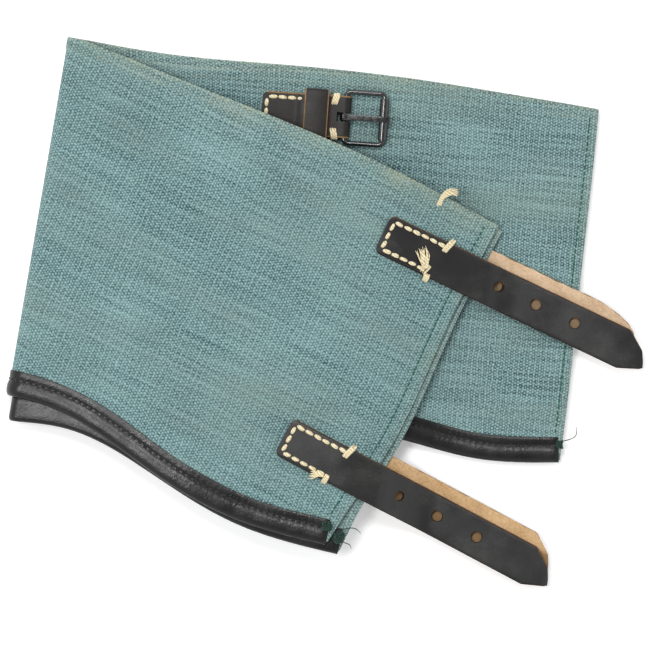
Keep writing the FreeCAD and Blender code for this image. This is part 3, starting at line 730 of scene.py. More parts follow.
class Tubes:
    """Many short threads in one mesh."""

    def __init__(self):
        self.points, self.faces = [], []

    def add(self, centres, widths, side, up, sides):
        """A closed tube along centres; widths are its half width and half height, side and up its axes."""
        first = sum(len(p) for p in self.points)
        angles = np.linspace(0, 2 * pi, sides, endpoint=False)
        for p, (w, h), s, n in zip(centres, widths, side, up):
            self.points.append(p + np.outer(np.cos(angles), s) * w + np.outer(np.sin(angles), n) * h)
        self.faces += tube_faces(len(centres), sides, first)

    def stitch(self, start, end, up, width, height):
        """One stitch lying on a surface, its ends pulled into it."""
        start, end, up = (np.asarray(x, float) for x in (start, end, up))
        along = unit(end - start)
        side = np.cross(up, along)
        # how far along, share of the width, and lift of the middle in half heights
        steps = [(0.0, 0.3, -0.25), (0.1, 0.75, 0.35), (0.3, 1.0, 0.9), (0.5, 1.05, 1.0), (0.7, 1.0, 0.9),
                 (0.9, 0.75, 0.35), (1.0, 0.3, -0.25)]
        centres = [start + (end - start) * t + up * (lift * height / 2) for t, _, lift in steps]
        count = len(steps)
        self.add(centres, [(width / 2 * k, height / 2 * k) for _, k, _ in steps], [side] * count,
                 [up] * count, 7)

    def strand(self, path, radius, taper):
        """A free thread along a smooth path."""
        line = spline(path, max(len(path) * 4, 8))
        d = unit(np.gradient(line, axis=0))
        side = unit(np.cross(d, np.array([0.31, 0.17, 0.93])))
        up = np.cross(side, d)
        t = np.linspace(0, 1, len(line))
        r = radius * (1 - (1 - taper) * smooth((t - 0.7) / 0.3))
        self.add(line, [(x, x) for x in r], side, up, 6)

    def build(self, name, material, slot_name):
        obj = make_object(name, np.concatenate(self.points), self.faces, [material])
        return obj


def surface_normal(place, c, v):
    """Outward normal of a surface function of (c, v)."""
    e = 0.3
    here = [np.asarray(place(c + dc, v + dv), float) for dc, dv in ((e, 0), (-e, 0), (0, e), (0, -e))]
    n = np.cross(here[0] - here[1], here[2] - here[3])
    return n / np.linalg.norm(n)


def seam(gaiter, line, out, pitch, long, width, height):
    """Stitches along a (c, v) line, out above the canvas's middle."""
    tubes = Tubes()
    count = int(np.linalg.norm(np.diff(line, axis=0), axis=1).sum() / pitch)
    steps = walk(line, count * 12 + 1)
    share = int(12 * long / pitch)
    for k in range(count):
        a, b = steps[k * 12 + 1], steps[k * 12 + 1 + share]
        jitter = (rng.random() - 0.5) * 0.25
        p = [gaiter.place(x[0], x[1] + jitter, out) for x in (a, b)]
        up = gaiter.outward * surface_normal(gaiter.place, *(0.5 * (a + b)))
        tubes.stitch(p[0], p[1], up, width, height)
    return tubes


# ---------------------------------------------------------------- the gaiters
CLOTH_INSET = 1.0                       # the canvas stops short of the fold in the binding
COLUMN_STEP, FOLD_COLUMNS = 2.2, 44


def sew_binding(gaiter, half):
    """The stitches through the binding of a half or, with None, of the fold's strip."""
    edge, normals = edge_span(gaiter, half)
    tubes = seam(gaiter, edge + normals * TRIM_ROW, **TRIM_STITCHES)
    return tubes.build(f"{gaiter.side}_{half or 'fold'}_trim_stitches", BLACK, "black_thread")


for side, gaiter in GAITERS.items():
    made = {}
    for half in ("back", "front"):
        body = f"{side}_{half}"
        columns = int(abs(gaiter.open[half][0, 0]) / COLUMN_STEP)
        cloth = cloth_part(f"{body}_cloth", gaiter, gaiter.patch(half, columns, CLOTH_INSET), half)
        trim = binding_part(f"{body}_trim", gaiter, half)
        hem = walk(gaiter.open[half], 120)
        offset = inward(hem[:, ::-1])[:, ::-1]
        toward = 1 if half == "back" else -1
        offset = offset * np.where(offset[:, :1] * toward < 0, -1, 1)
        hem_row = (hem + offset * HEM_INSET[half])[2:-9]
        stitches = seam(gaiter, hem_row, **HEM_STITCHES).build(f"{body}_hem_stitches", GREEN, "green_thread")
        sewn = sew_binding(gaiter, half)
        for piece, node in ((cloth, "canvas"), (trim, "binding"), (stitches, "hem_thread"),
                            (sewn, "binding_thread")):
            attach(piece, body)
            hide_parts(f"{body}_{node}")
        made[half] = cloth, [trim, stitches, sewn]
    # The strip between the halves, curved round the fold.
    strip = cloth_part(f"{side}_fold_cloth", gaiter, gaiter.strip(FOLD_COLUMNS, CLOTH_INSET), None)
    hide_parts(f"{side}_fold_canvas")
    trim = binding_part(f"{side}_fold_trim", gaiter, None)
    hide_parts(f"{side}_fold_binding")
    sewn = sew_binding(gaiter, None)
    low, high = FOLD_CENTRE - gaiter.radius, FOLD_CENTRE + gaiter.radius
    for piece in (strip, trim, sewn):
        to_frame([*(AWAY * FOLD), low + 0.1 * gaiter.radius])
        to_frame([*(AWAY * FOLD), high - 0.1 * gaiter.radius])
        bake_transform(piece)
    for half, (cloth, joined) in made.items():
        begins = gaiter.arc if half == "front" else 0
        top, low = (abs(gaiter.open[half][end, 0] - begins) - STRIP_MARGIN for end in (0, -1))

# ---------------------------------------------------------------- straps
STRAP_PLACES = {            # start of the middle line, angle in degrees, length
    "upper": ((27.0, 38.0), -25.5, 143.0),
    "lower": ((-21.0, -60.5), -28.0, 148.0),
}
NESTED = {"upper": 8.0, "lower": 3.0}                   # a right strap starts this much nearer the fold
NESTED_OFFSET = 6.1                                     # and lies this much across
LEAVES_CLOTH = {"upper": 76.0, "lower": 41.0}
HOLE_RADIUS = 2.55
HOLES = {"upper": (39.4, 21.0, 1.0), "lower": (41.6, 21.8, 0.2)}    # last to tip, pitch, above the middle
EDGE_ROUND = 0.28
BEND_REACH = 0.006                                      # metres of strap each side of its joint


class Strap:
    """A strap's own directions and surface."""

    def __init__(self, side, level_name):
        self.side, self.level = side, level_name
        start, angle, self.length = STRAP_PLACES[level_name]
        a = radians(angle)
        self.ahead, self.across = np.array([cos(a), sin(a)]), np.array([-sin(a), cos(a)])
        self.start = np.array(start)
        if side == "right":
            self.start = self.start - self.ahead * NESTED[level_name] + self.across * NESTED_OFFSET
        self.profile = STRAP_PROFILES[f"{side}_{level_name}"]
        self.leaves = LEAVES_CLOTH[level_name]

    def under(self, u, v):
        """Height of the strap's under side."""
        own = eased(self.profile, u) + ripple(u, v)
        if self.side == "right":
            return own
        cloth = eased(ON_FRONT, u) + ripple(u, v) + 0.1 - 0.6 * np.maximum(u - self.leaves, 0)
        return np.maximum(own, cloth)

    def place(self, a, b, up=0.0):
        """XYZ at a along and b across, up above the underside."""
        a, b = np.asarray(a, float), np.asarray(b, float)
        xy = self.start + a[..., None] * self.ahead + b[..., None] * self.across
        u, v = xy @ AWAY, xy @ ALONG
        z = sum(self.under(u + o * 2.0, v) for o in (-1, 0, 1)) / 3
        return np.concatenate([xy, (z + up)[..., None]], -1)


SEWN_CORNER = 3.2


def strap_widths(a, length, curved=False):
    """Upper and lower edge of the strap's outline at a: round corners at the sewn end, a cut point."""
    inside = np.maximum(SEWN_CORNER ** 2 - (SEWN_CORNER - a) ** 2, 0)
    back = np.where(a < SEWN_CORNER, SEWN_CORNER - np.sqrt(inside), 0)
    upper = np.interp(a, [length - 13.2, length - 3.6, length - 0.9, length], [STRAP_HALF, 3.2, -1.6, -4.2])
    if curved:
        upper = np.interp(length - a, [0, 0.8, 3.2, 7.0, 13.0, 19.0, 25.0, 31.0, 39.0],
                          [-4.2, -0.6, 3.4, 6.1, 8.1, 9.4, 10.2, 10.3, STRAP_HALF])
    lower = np.interp(a, [length - 11.6, length - 1.2, length], [-STRAP_HALF, -5.7, -4.7])
    return upper - back, lower + back


def cut(obj, cutter):
    """Take the cutter's space out of a piece."""
    modifier = obj.modifiers.new("cut", "BOOLEAN")
    modifier.operation, modifier.solver, modifier.object = "DIFFERENCE", "EXACT", cutter
    bpy.context.view_layer.update()
    shaped = bpy.data.meshes.new_from_object(obj.evaluated_get(bpy.context.evaluated_depsgraph_get()))
    obj.modifiers.clear()
    obj.data = shaped
    bpy.data.objects.remove(cutter)


def make_strap(side, level_name):
    """One strap, grain side up on the left gaiter and flesh side up on the right one."""
    strap = Strap(side, level_name)
    name = f"{side}_{level_name}"
    grain_up = side == "left"
    a = np.concatenate([np.linspace(0, SEWN_CORNER, 7), np.arange(4.4, strap.length - 14, 1.4),
                        np.linspace(strap.length - 13.4, strap.length, 20)])
    upper, lower = strap_widths(a, strap.length, name == "right_upper")
    count = 15                                          # points across each face
    # The cut edge slopes out towards the flesh side.
    top_inset, low_inset = (0.24, 0.0) if grain_up else (0.0, 0.42)
    t = np.linspace(0, 1, count)[None]
    frayed = 0 if grain_up else (0.16 * np.sin(a / 3.1) + 0.14 * np.sin(a / 1.3 + 1))[:, None]

    def face(inset, height, fray, share):
        b = (lower[:, None] + inset) + (upper[:, None] - lower[:, None] - 2 * inset + fray) * share
        return strap.place(np.repeat(a[:, None], count, 1), b, height)

    def edge_rows(edge, sign, heights):
        insets = [low_inset + (top_inset - low_inset) * h / STRAP_THICK for h in heights]
        return np.stack([strap.place(a, edge - sign * inset, h) for inset, h in zip(insets, heights)], 1)

    heights = (STRAP_THICK - EDGE_ROUND, STRAP_THICK / 2, EDGE_ROUND)
    top = face(top_inset + EDGE_ROUND, STRAP_THICK, frayed, t)
    bottom = face(low_inset + EDGE_ROUND, 0.0, 0, 1 - t)
    loops = [top, edge_rows(upper, 1, heights), bottom, edge_rows(lower, -1, heights[::-1])]
    loops = np.concatenate(loops, 1)
    cap = end_cap(count, len(heights))
    points, faces = loft(loops, cap, cap)
    tags = np.full(loops.shape[1], 2)
    tags[:count - 1] = 0 if grain_up else 1
    tags[count + 3:2 * count + 2] = 1 if grain_up else 0
    tags = np.tile(tags, len(a) - 1).tolist() + [2] * (2 * len(cap))
    materials = [GRAIN, FLESH[level_name], DARK_EDGE if grain_up else CUT_EDGE]
    obj = make_object(f"{name}_strap_leather", points, [f[::-1] for f in faces], materials, tags)
    cut(obj, hole_cutter(strap, grain_up, materials))
    places = np.array([tuple(v.co) for v in obj.data.vertices]) * 1000 - SHIFT
    across = (places[:, :2] - strap.start) @ strap.across
    # Painted shade share: where the left strap lies over the right strap's flesh.
    paint(obj, "rubbed", smooth((STRAP_HALF - NESTED_OFFSET - 0.4 - across) / 1.2))
    obj.data.set_sharp_from_angle(angle=radians(48))
    ahead = Vector((*strap.ahead, 0)) * BEND_REACH
    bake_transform(obj)
    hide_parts(f"{name}_strap", f"{name}_strap_root")
    return strap


def hole_cutter(strap, grain_up, materials):
    """Three punches, flared a little at the grain side, where the dye has worn off the rim."""
    sides, e = 28, 0.5
    heights = [(-1.5, 1.0), (STRAP_THICK - 0.5, 1.0), (STRAP_THICK + 0.15, 1.16), (STRAP_THICK + 1.5, 1.16)]
    if not grain_up:
        heights = [(STRAP_THICK - h, k) for h, k in heights][::-1]
    points, faces = [], []
    last, pitch, high = HOLES[strap.level]
    for k in range(3):
        a = strap.length - last - k * pitch
        centre = strap.place(a, high)
        du = strap.place(a + e, 0.0) - strap.place(a - e, 0.0)
        dv = strap.place(a, e) - strap.place(a, -e)
        n, du, dv = unit(np.cross(du, dv)), unit(du), unit(dv)
        faces += tube_faces(len(heights), sides, len(points))
        for h, scale in heights:
            r = HOLE_RADIUS * scale
            points += [centre + n * h + du * r * cos(w) + dv * r * sin(w)
                       for w in np.linspace(0, 2 * pi, sides, endpoint=False)]
    return make_object("punch", np.array(points), faces, materials, [2] * len(faces))


ROW = 7.4                   # rows of stitches, from the strap's middle line
STITCH_LONG, STITCH_PITCH, STITCH_WIDE, STITCH_HIGH = 4.1, 4.6, 1.9, 1.15


def strap_sewing(strap):
    """A U of stitches at the sewn end, on the grain side, with a bar tack at the end of its upper row."""
    tubes = Tubes()
    up_side = 1 if strap.side == "left" else -1
    height = STRAP_THICK if up_side > 0 else 0.0

    def sew(a0, b0, a1, b1):
        jit = [(rng.random() - 0.5) * 0.35 for _ in range(4)]
        here = strap.place(a0, b0)
        n = unit(np.cross(strap.place(a0 + 1.0, b0) - here, strap.place(a0, b0 + 1.0) - here))
        start = strap.place(a0 + jit[0], b0 + jit[1], height)
        end = strap.place(a1 + jit[2], b1 + jit[3], height)
        tubes.stitch(start, end, n * up_side, STITCH_WIDE * (0.92 + 0.16 * rng.random()), STITCH_HIGH)

    for row, inward_by, count in ((ROW, -0.3, 6), (-ROW, 0.3, 5)):
        for k in range(count):
            begin = 3.6 + k * STITCH_PITCH
            sew(begin, row, begin + STITCH_LONG, row + inward_by)
    for k in range(3):
        begin = 6.6 - k * 4.7
        sew(3.1, begin, 2.7, begin - 3.9)
    for k in range(2):
        path = [(30.2, 5.0, -0.2), (30.8, 7.2, 0.75), (31.7, 9.9, 0.6), (32.3, 12.0, -1.2)]
        tubes.strand([strap.place(a + 1.25 * k, b, height + up_side * h) for a, b, h in path], 0.85, 0.7)
    return tubes


def put_on(tubes, name, material, slot_name, body, *replaced):
    obj = tubes.build(name, material, slot_name)
    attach(obj, body)
    if replaced:
        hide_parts(*replaced)


straps = {}
for side in ("left", "right"):
    for level_name in ("upper", "lower"):
        name = f"{side}_{level_name}"
        straps[name] = make_strap(side, level_name)
        put_on(strap_sewing(straps[name]), f"{name}_strap_sewing", CREAM, "waxed_thread", f"{side}_front",
               f"{name}_strap_stitches")


# ---------------------------------------------------------------- loose threads

def tuft(strap, root, tip, count, spread, radius, lift, seed):
    """A frayed end of thread lying on a strap: strands that leave one bar and part."""
    draw = random.Random(seed)
    tubes = Tubes()
    root, tip = np.array(root, float), np.array(tip, float)
    along = tip - root
    cross = np.array([-along[1], along[0]]) / np.linalg.norm(along)
    for k in range(count):
        reach = 0.75 + 0.35 * draw.random()
        side_step = (k / max(count - 1, 1) - 0.5) * spread
        path = []
        for t in (0, 0.35, 0.7, 1.0):
            wander = cross * (side_step * (0.45 + t) + (draw.random() - 0.5) * 0.9)
            p = root + along * t * reach + wander
            z = lift * (0.5 + sin(pi * min(t + 0.15, 1))) * (0.6 + 0.5 * draw.random())
            path.append(strap.place(p[0], p[1], STRAP_THICK + 0.25 + z * (1 - 0.5 * t)))
        tubes.strand(path, radius * (0.8 + 0.4 * draw.random()), 0.3)
    return tubes


def merge(*many):
    """Several groups of threads as one."""
    whole = Tubes()
    for tubes in many:
        shift = sum(len(p) for p in whole.points)
        whole.points += tubes.points
        whole.faces += [[i + shift for i in f] for f in tubes.faces]
    return whole


def bar(strap, a, b0, b1, wide, high):
    """A thick tack of several threads across the strap, from b0 down to the cloth at b1."""
    tubes = Tubes()
    for k in range(3):
        start, end = (strap.place(a + (k - 1) * wide * 0.32, b, STRAP_THICK) for b in (b0, b1))
        end[2] -= STRAP_THICK * 0.8
        tubes.stitch(start, end, np.array([0, 0, 1.0]), wide * 0.55, high)
    return tubes


upper, lower = straps["left_upper"], straps["left_lower"]
put_on(merge(tuft(upper, (26.6, -6.4), (20.4, 1.4), 11, 4.2, 0.36, 1.1, 3),
             tuft(upper, (27.4, -4.4), (25.6, -9.0), 5, 2.6, 0.42, 0.6, 5),
             bar(upper, 28.4, -8.2, -12.6, 2.6, 1.6)),
       "left_upper_frayed_thread", CREAM, "waxed_thread", "left_front")
put_on(merge(tuft(lower, (26.0, -7.6), (19.5, -10.6), 8, 2.4, 0.36, 0.7, 8),
             bar(lower, 27.6, -6.4, -11.6, 2.4, 1.4)),
       "left_lower_frayed_thread", CREAM, "waxed_thread", "left_front")


def over(side, half, x, y, out):
    """XYZ above a half's cloth at a design XY."""
    gaiter = GAITERS[side]
    u, v = np.array([x, y]) @ AWAY, np.array([x, y]) @ ALONG
    return gaiter.place(gaiter.arc + u - FOLD if half == "front" else FOLD - u, v, HALF + out)


def on_front(x, y, out):
    return over("left", "front", x, y, out)


def on_back(x, y, out):
    return over("right", "back", x, y, out)


draw = random.Random(21)


def add_knot(tubes, on_cloth, centre, size, count, above, radius):
    """Crumpled strands round a place on the cloth; above is the least height and what is added to it."""
    (x, y), (wide, long), (low, more) = centre, size, above
    for _ in range(count):
        tubes.strand([on_cloth(x + (draw.random() - 0.5) * wide, y + (draw.random() - 0.5) * long,
                               low + draw.random() * more) for _ in range(4)], radius, 0.6)


def add_tail(tubes, path, z, drop):
    """A loose thread's end that leaves the cloth at height z and sinks by drop at each point."""
    tubes.strand([np.array([x, y, z - drop * k]) for k, (x, y) in enumerate(path)], 0.24, 0.6)


# A loose end of the stitching over the front's top edge
loose = Tubes()
fray = random.Random(4)
for k in range(11):
    off, low = (k - 5) * 0.21, 0.3 * (k % 3)
    stray = [(fray.random() - 0.5) * 0.7 for _ in range(4)]
    loose.strand([on_front(54.4 + off, 51.6, 0.0), on_front(55.5 + off, 54.6 + off * 0.3, 0.9 - low),
                  on_front(57.2 + off * 0.8, 56.9 - off * 0.8 + 0.3 * stray[0], 1.5 - low),
                  on_front(60.3 + stray[1] * 0.5, 58.3 - off * 1.3 + 0.4 * stray[2], 1.4 - low),
                  on_front(63.4 + 1.2 * stray[3] - 0.3 * abs(off), 57.9 - off * 1.7 + stray[1], 0.9)],
                 0.40, 0.5)
put_on(loose, "left_front_loose_thread", CREAM, "waxed_thread", "left_front")

# Green thread ends at the corners of the binding
KNOTS = [((-0.2, -104.4), 4.6, 14), ((6.0, -109.8), 5.6, 12)]       # centre, width, strands
TAILS = [[(4.6, -107.2), (9.0, -105.6), (13.9, -105.6), (16.4, -107.8)],
         [(5.0, -110.4), (8.9, -112.4), (11.4, -113.9), (11.7, -115.2)]]
BACK_TAIL = [(114.6, -63.6), (118.6, -62.6), (121.5, -61.0), (122.1, -56.6)]
knots = Tubes()
for centre, size, count in KNOTS:
    add_knot(knots, on_front, centre, (size, size), count, (0.9, 1.0), 0.34)
for path in TAILS:
    add_tail(knots, path, on_front(-1.0, -108.0, 0.8)[2], 0.5)
put_on(knots, "left_front_thread_ends", KNOT, "green_thread", "left_front")

ends = Tubes()
add_knot(ends, on_back, (113.8, -65.0), (3.6, 4.6), 9, (0.8, 0.8), 0.28)
add_tail(ends, BACK_TAIL, on_back(113.0, -63.0, 0.9)[2], 0.35)
put_on(ends, "right_back_thread_ends", KNOT, "green_thread", "right_back")

# ---------------------------------------------------------------- buckle units
# In a unit's own directions x runs along the prong from the bar, y along the bar, and z up from the canvas.
CHAPE_WIDTH, CHAPE_LENGTH, CHAPE_CORNER = 20.4, 40.8, 3.0
CHAPE_TOP = 2.8
CHAPE_LEATHER = 1.4
BAR_HEIGHT, FOLD_RADIUS = 2.7, 2.0
SLOT_WIDTH = 4.6
BOX_FACES = [[0, 1, 3, 2], [2, 3, 7, 6], [6, 7, 5, 4], [4, 5, 1, 0], [2, 6, 4, 0], [7, 3, 1, 5]]
SLOT_CUTS = ((-4.1, 3.1, 1.9, 7.2), (-3.4, 3.1, -1.8, 2.0))         # x from and to, z from and to
EYE_WIDTH, EYE_BORE, EYE_RADIUS = 4.2, 1.25, 2.45
EYE_LOBES = ((110, 17, 1.2), (36, 24, 1.2), (78, 20, 0.5))          # angle round the bar, spread, height
EYE_SECTION = ((-1.0, 0.2), (-0.97, 0.52), (-0.82, 0.82), (-0.48, 0.97), (0.0, 1.0), (0.48, 0.97),
               (0.82, 0.82), (0.97, 0.52), (1.0, 0.2), (0.9, 0.0), (-0.9, 0.0))
CHAPE_LINE = [(-40.8, 0.7), (-30.0, 0.7), (-15.0, 0.7), (-4.0, 0.7), (0.0, 0.7),
              *((FOLD_RADIUS * sin(radians(a)), BAR_HEIGHT - FOLD_RADIUS * cos(radians(a)))
                for a in range(20, 180, 20)),
              (0.0, 4.7), (-3.0, 4.35), (-7.2, 3.62), (-14.0, 3.6), (-19.5, 3.56), (-21.5, 3.2),
              (-24.0, 2.25), (-26.0, 2.14), (-33.0, 2.14), (-40.8, 2.14)]
# distance in from the side, and how much thinner the leather is there
SIDE_STEPS = [(0.0, 0.38), (0.30, 0.12), (0.62, 0.0), (1.2, 0.0), (2.0, 0.0), (2.9, 0.0)]


def unit_axes(name):
    """A buckle unit's origin on the canvas and its axes, from its joints."""
    bar_at, roller_at = (1000 * np.array(JOINTS[f"{name}_{joint}"]["pos_m"]) - SHIFT
                         for joint in ("buckle_tilt", "roller_spin"))
    x = unit(roller_at - bar_at)
    z = np.array([0.0, 0.0, 1.0 if name.startswith("right") else -1.0])
    return bar_at - z * BAR_HEIGHT, x, np.cross(z, x), z


def chape_top(x):
    """Height of the chape's upper face at x along the unit."""
    return float(np.interp(x, [-24.0, -20.9, -7.2, -3.0, 0.0], [2.84, 4.26, 4.32, 5.05, 5.4]))


def thick_line(line, half):
    """Both faces of a strip along a polyline: points half out on one side, then back on the other."""
    d = unit(np.gradient(line, axis=0))
    n = np.stack([-d[:, 1], d[:, 0]], 1)
    return np.concatenate([line - n * half, (line + n * half)[::-1]])


def make_chape(name, local):
    """A strip folded round the bar and laid on itself, rear corners rounded, slotted for the prong."""
    line = spline(CHAPE_LINE, 90)
    half = CHAPE_WIDTH / 2
    across = [(-half + d, t, d) for d, t in SIDE_STEPS] + [(y, 0.0, 9.0) for y in (-4.5, -1.5, 1.5, 4.5)] \
        + [(half - d, t, d) for d, t in reversed(SIDE_STEPS)]
    loops = []
    for y, thinner, from_side in across:
        inside = CHAPE_CORNER ** 2 - max(CHAPE_CORNER - from_side, 0.0) ** 2
        corner = CHAPE_CORNER - np.sqrt(max(inside, 0.0))
        ring = thick_line(line, CHAPE_LEATHER / 2 - thinner * 0.5)
        x = np.maximum(ring[:, 0], -CHAPE_LENGTH + corner)
        loops.append([local(px, y, pz) for px, pz in zip(x, ring[:, 1])])
    loops = np.array(loops)
    n = loops.shape[1]
    cap = folded_cap(n)
    points, faces = loft(loops, cap, cap)
    edge = np.zeros((len(across) - 1, n), int)
    edge[:2] = edge[-2:] = 1
    edge[:, n // 2 - 1] = edge[:, -1] = 1
    tags = edge.ravel().tolist() + [1] * (2 * len(cap))
    obj = make_object(name, points, faces, [CHAPE, CUT_EDGE], tags)
    for back, ahead, low, high in SLOT_CUTS:
        corners = [local(x, y, z) for x in (back, ahead) for y in (-SLOT_WIDTH / 2, SLOT_WIDTH / 2)
                   for z in (low, high)]
        cut(obj, make_object("slot", np.array(corners), BOX_FACES, [CHAPE, CUT_EDGE], [1] * 6))
    obj.data.set_sharp_from_angle(angle=radians(50))
    return obj


def make_prong_eye(name, local):
    """The prong's end, coiled round the bar and thicker in front of it and behind it."""
    steps = 48
    rings = []
    for k in range(steps):
        turn = 360.0 * k / steps
        lobes = [high * np.exp(-((turn - at) / spread) ** 2) for at, spread, high in EYE_LOBES]
        thick = EYE_RADIUS + sum(lobes) - EYE_BORE
        rings.append([local((EYE_BORE + thick * out) * cos(radians(turn)), side * EYE_WIDTH / 2,
                            BAR_HEIGHT + (EYE_BORE + thick * out) * sin(radians(turn)))
                      for side, out in EYE_SECTION])
    faces = side_faces(steps, len(EYE_SECTION), closed=True)
    return make_object(name, np.array(rings).reshape(-1, 3), faces, [STEEL], sharp=60)


KEEPER_HALF, KEEPER_LOW, KEEPER_HIGH, KEEPER_CORNER = 12.8, 1.55, 7.8, 1.3
KEEPER_FROM, KEEPER_TO, KEEPER_LEATHER = -20.2, -8.4, 1.2


def make_keeper(name, local):
    """A closed leather loop round the chape, open along the unit for the strap's end."""
    side, low, high = KEEPER_HALF - KEEPER_CORNER, KEEPER_LOW + KEEPER_CORNER, KEEPER_HIGH - KEEPER_CORNER
    arcs = []
    for y, z, start in ((side, high, 0), (-side, high, 90), (-side, low, 180), (side, low, 270)):
        turns = [radians(start + a) for a in (0, 22, 45, 68, 90)]
        arcs.append([(y + KEEPER_CORNER * cos(a), z + KEEPER_CORNER * sin(a), a) for a in turns])
    path = []
    for arc, after in zip(arcs, arcs[1:] + arcs[:1]):
        (y, z, a), (y1, z1, _) = arc[-1], after[0]
        path += arc + [(y + (y1 - y) * t, z + (z1 - z) * t, a) for t in (0.2, 0.4, 0.6, 0.8)]
    x0, x1, thick = KEEPER_FROM, KEEPER_TO, KEEPER_LEATHER
    profile = [(x0 + 0.55, 0.0), (x0 + 0.2, 0.14), (x0, 0.45), (x0 + 0.05, thick), (x1 - 0.05, thick),
               (x1, 0.45), (x1 - 0.2, 0.14), (x1 - 0.55, 0.0), ((x0 + x1) / 2, -0.10)]
    rings = [[local(x, y - cos(a) * inward_by, z - sin(a) * inward_by) for x, inward_by in profile]
             for y, z, a in path]
    faces = side_faces(len(path), len(profile), closed=True)
    tags = [1, 1, 1, 1, 1, 1, 1, 0, 0] * len(path)
    return make_object(name, np.array(rings).reshape(-1, 3), faces, [CHAPE, CUT_EDGE], tags, sharp=50)


def unit_sewing(local, up):
    """The chape's stitches, and a tack at each side just beyond the keeper."""
    tubes = Tubes()

    def sew(x0, y0, x1, y1):
        tubes.stitch(local(x0, y0, CHAPE_TOP), local(x1, y1, CHAPE_TOP), up, STITCH_WIDE, 1.1)

    begin, row = 2.3 - CHAPE_LENGTH, CHAPE_WIDTH / 2 - 2.6
    for s in (-1, 1):
        for k in range(4):
            a = begin + 0.8 + k * STITCH_PITCH
            jit = (rng.random() - 0.5) * 0.3
            sew(a, s * row + jit, a + 4.2, s * row - jit)
    for k in range(3):
        b = -6.6 + k * STITCH_PITCH
        sew(begin - 0.2, b, begin, b + 4.0)
    for s in (-1, 1):
        for k in range(3):
            a = -6.6 + k * 1.05
            top = chape_top(a)
            tubes.strand([local(a, s * 6.0, top - 0.5), local(a + 0.2, s * 7.4, top + 0.55),
                          local(a + 0.7, s * 9.3, top + 0.55), local(a + 0.9, s * 10.9, top - 0.5),
                          local(a + 0.6, s * 10.9, top - 2.4)], 0.62, 0.8)
    return tubes


def finish_metal(node, material, soften):
    """The CAD's own shape with its material, smooth shading and, in millimetres, softened edges."""
    node.data.materials.clear()
    node.data.materials.append(material)
    for face in node.data.polygons:
        face.use_smooth = True
    node.modifiers.new("weld", "WELD").merge_threshold = 1e-6
    if soften:
        bevel = node.modifiers.new("bevel", "BEVEL")
        bevel.width, bevel.segments = soften / 1000, 2
        bevel.limit_method, bevel.angle_limit = "ANGLE", radians(35)
    node.modifiers.new("weighted", "WEIGHTED_NORMAL").keep_sharp = True


for name in straps:
    side = name.split("_")[0]
    origin, x, y, z = unit_axes(name)

    def local(px, py, pz):
        return origin + x * px + y * py + z * pz

    put_on(unit_sewing(local, z), f"{name}_chape_sewing", CREAM, "waxed_thread", f"{side}_back",
           f"{name}_chape_stitches")
    for part, make in (("chape", make_chape), ("keeper", make_keeper)):
        piece = make(f"{name}_{part}_leather", local)
        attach(piece, f"{side}_back")
        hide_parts(f"{name}_{part}")
    eye = make_prong_eye(f"{name}_prong_eye", local)
    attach(eye, f"{name}_prong_body")
    finish_metal(NODES[f"{name}_buckle_frame"], STEEL, 0)
    finish_metal(NODES[f"{name}_roller"], TUBE, 0.22)
    finish_metal(NODES[f"{name}_prong"], STEEL, 0.55)


# ---------------------------------------------------------------- stage, light and camera
FLOOR_HALF, FLOOR_Z = 4, -0.0003
floor_mesh = bpy.data.meshes.new("floor")
corners = [(x * FLOOR_HALF, y * FLOOR_HALF, FLOOR_Z) for x, y in ((-1, -1), (1, -1), (1, 1), (-1, 1))]
floor_mesh.from_pydata(corners, [], [(0, 1, 2, 3)])
floor = bpy.data.objects.new("floor", floor_mesh)
bpy.context.scene.collection.objects.link(floor)
paper = Shader("paper", Base_Color=(0.93, 0.93, 0.93), Roughness=0.9, Emission_Color=(1.0, 1.0, 1.0),
               Emission_Strength=0.22)
floor_mesh.materials.append(paper.material)

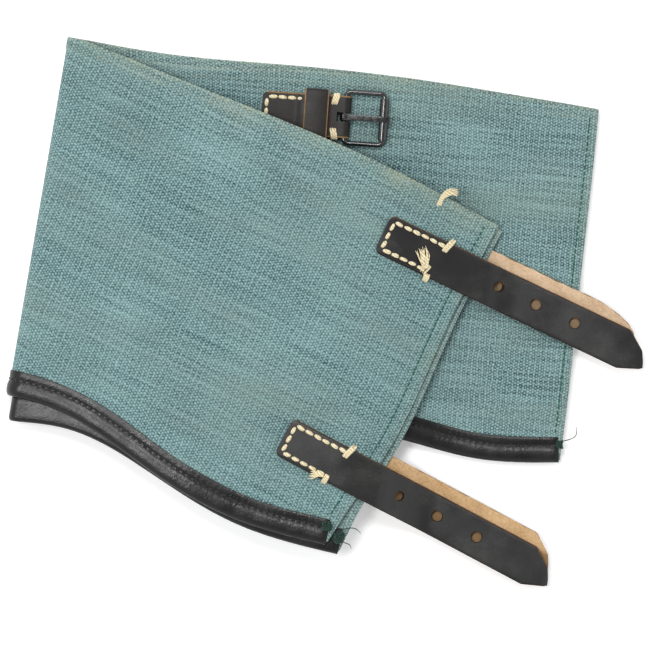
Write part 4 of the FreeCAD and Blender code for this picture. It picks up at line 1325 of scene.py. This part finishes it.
SKY_SIDES, SKY_TOP = 0.98, 0.26
DIMS_FROM, DIMS_TO = 0.62, 0.93         # height of the direction looked in
world = bpy.data.worlds.new("studio")
bpy.context.scene.world = world
world.use_nodes = True
sky = world.node_tree
sky.nodes["Background"].inputs[0].default_value = (1, 1, 1, 1)
# A soft room: bright all round and dimmer straight overhead, so that polished black reads as black.
direction = sky.nodes.new("ShaderNodeTexCoord")
split = sky.nodes.new("ShaderNodeSeparateXYZ")
dim_top = sky.nodes.new("ShaderNodeMapRange")
for socket, value in zip(dim_top.inputs[1:5], (DIMS_FROM, DIMS_TO, SKY_SIDES, SKY_TOP)):
    socket.default_value = value
sky.links.new(direction.outputs["Generated"], split.inputs[0])
sky.links.new(split.outputs[2], dim_top.inputs[0])
sky.links.new(dim_top.outputs[0], sky.nodes["Background"].inputs[1])


def area_light(name, place):
    """A round soft lamp that looks at the middle of the floor."""
    data = bpy.data.lights.new(name, "AREA")
    data.shape, data.size, data.energy = "DISK", LAMP_SIZE, LAMP_WATTS
    lamp = bpy.data.objects.new(name, data)
    lamp.location = place
    lamp.rotation_euler = (-Vector(place)).to_track_quat("-Z", "Y").to_euler()
    bpy.context.scene.collection.objects.link(lamp)


LAMP_SIZE, LAMP_WATTS = 0.5, 12.6
area_light("key_north", (-0.12, 0.72, 1.75))
area_light("key_west", (-0.72, 0.05, 1.75))

# The camera looks straight down at the middle of the pair, from CAMERA_HEIGHT above its plane of focus.
CAMERA_HEIGHT = 2.4
VIEW_WIDTH = 0.3172                     # width seen at that distance
PAIR_MIDDLE, PAIR_HEIGHT = [-0.98, -6.6, 0.0], 0.012
SENSOR = 36.0
camera_data = bpy.data.cameras.new("camera")
camera_data.sensor_width = SENSOR
camera_data.lens = SENSOR * CAMERA_HEIGHT / VIEW_WIDTH
camera = bpy.data.objects.new("camera", camera_data)
camera.location = (*(to_frame(PAIR_MIDDLE)[:2]), CAMERA_HEIGHT + PAIR_HEIGHT)
bpy.context.scene.collection.objects.link(camera)
bpy.context.scene.camera = camera
bpy.context.scene.view_settings.view_transform = "Standard"
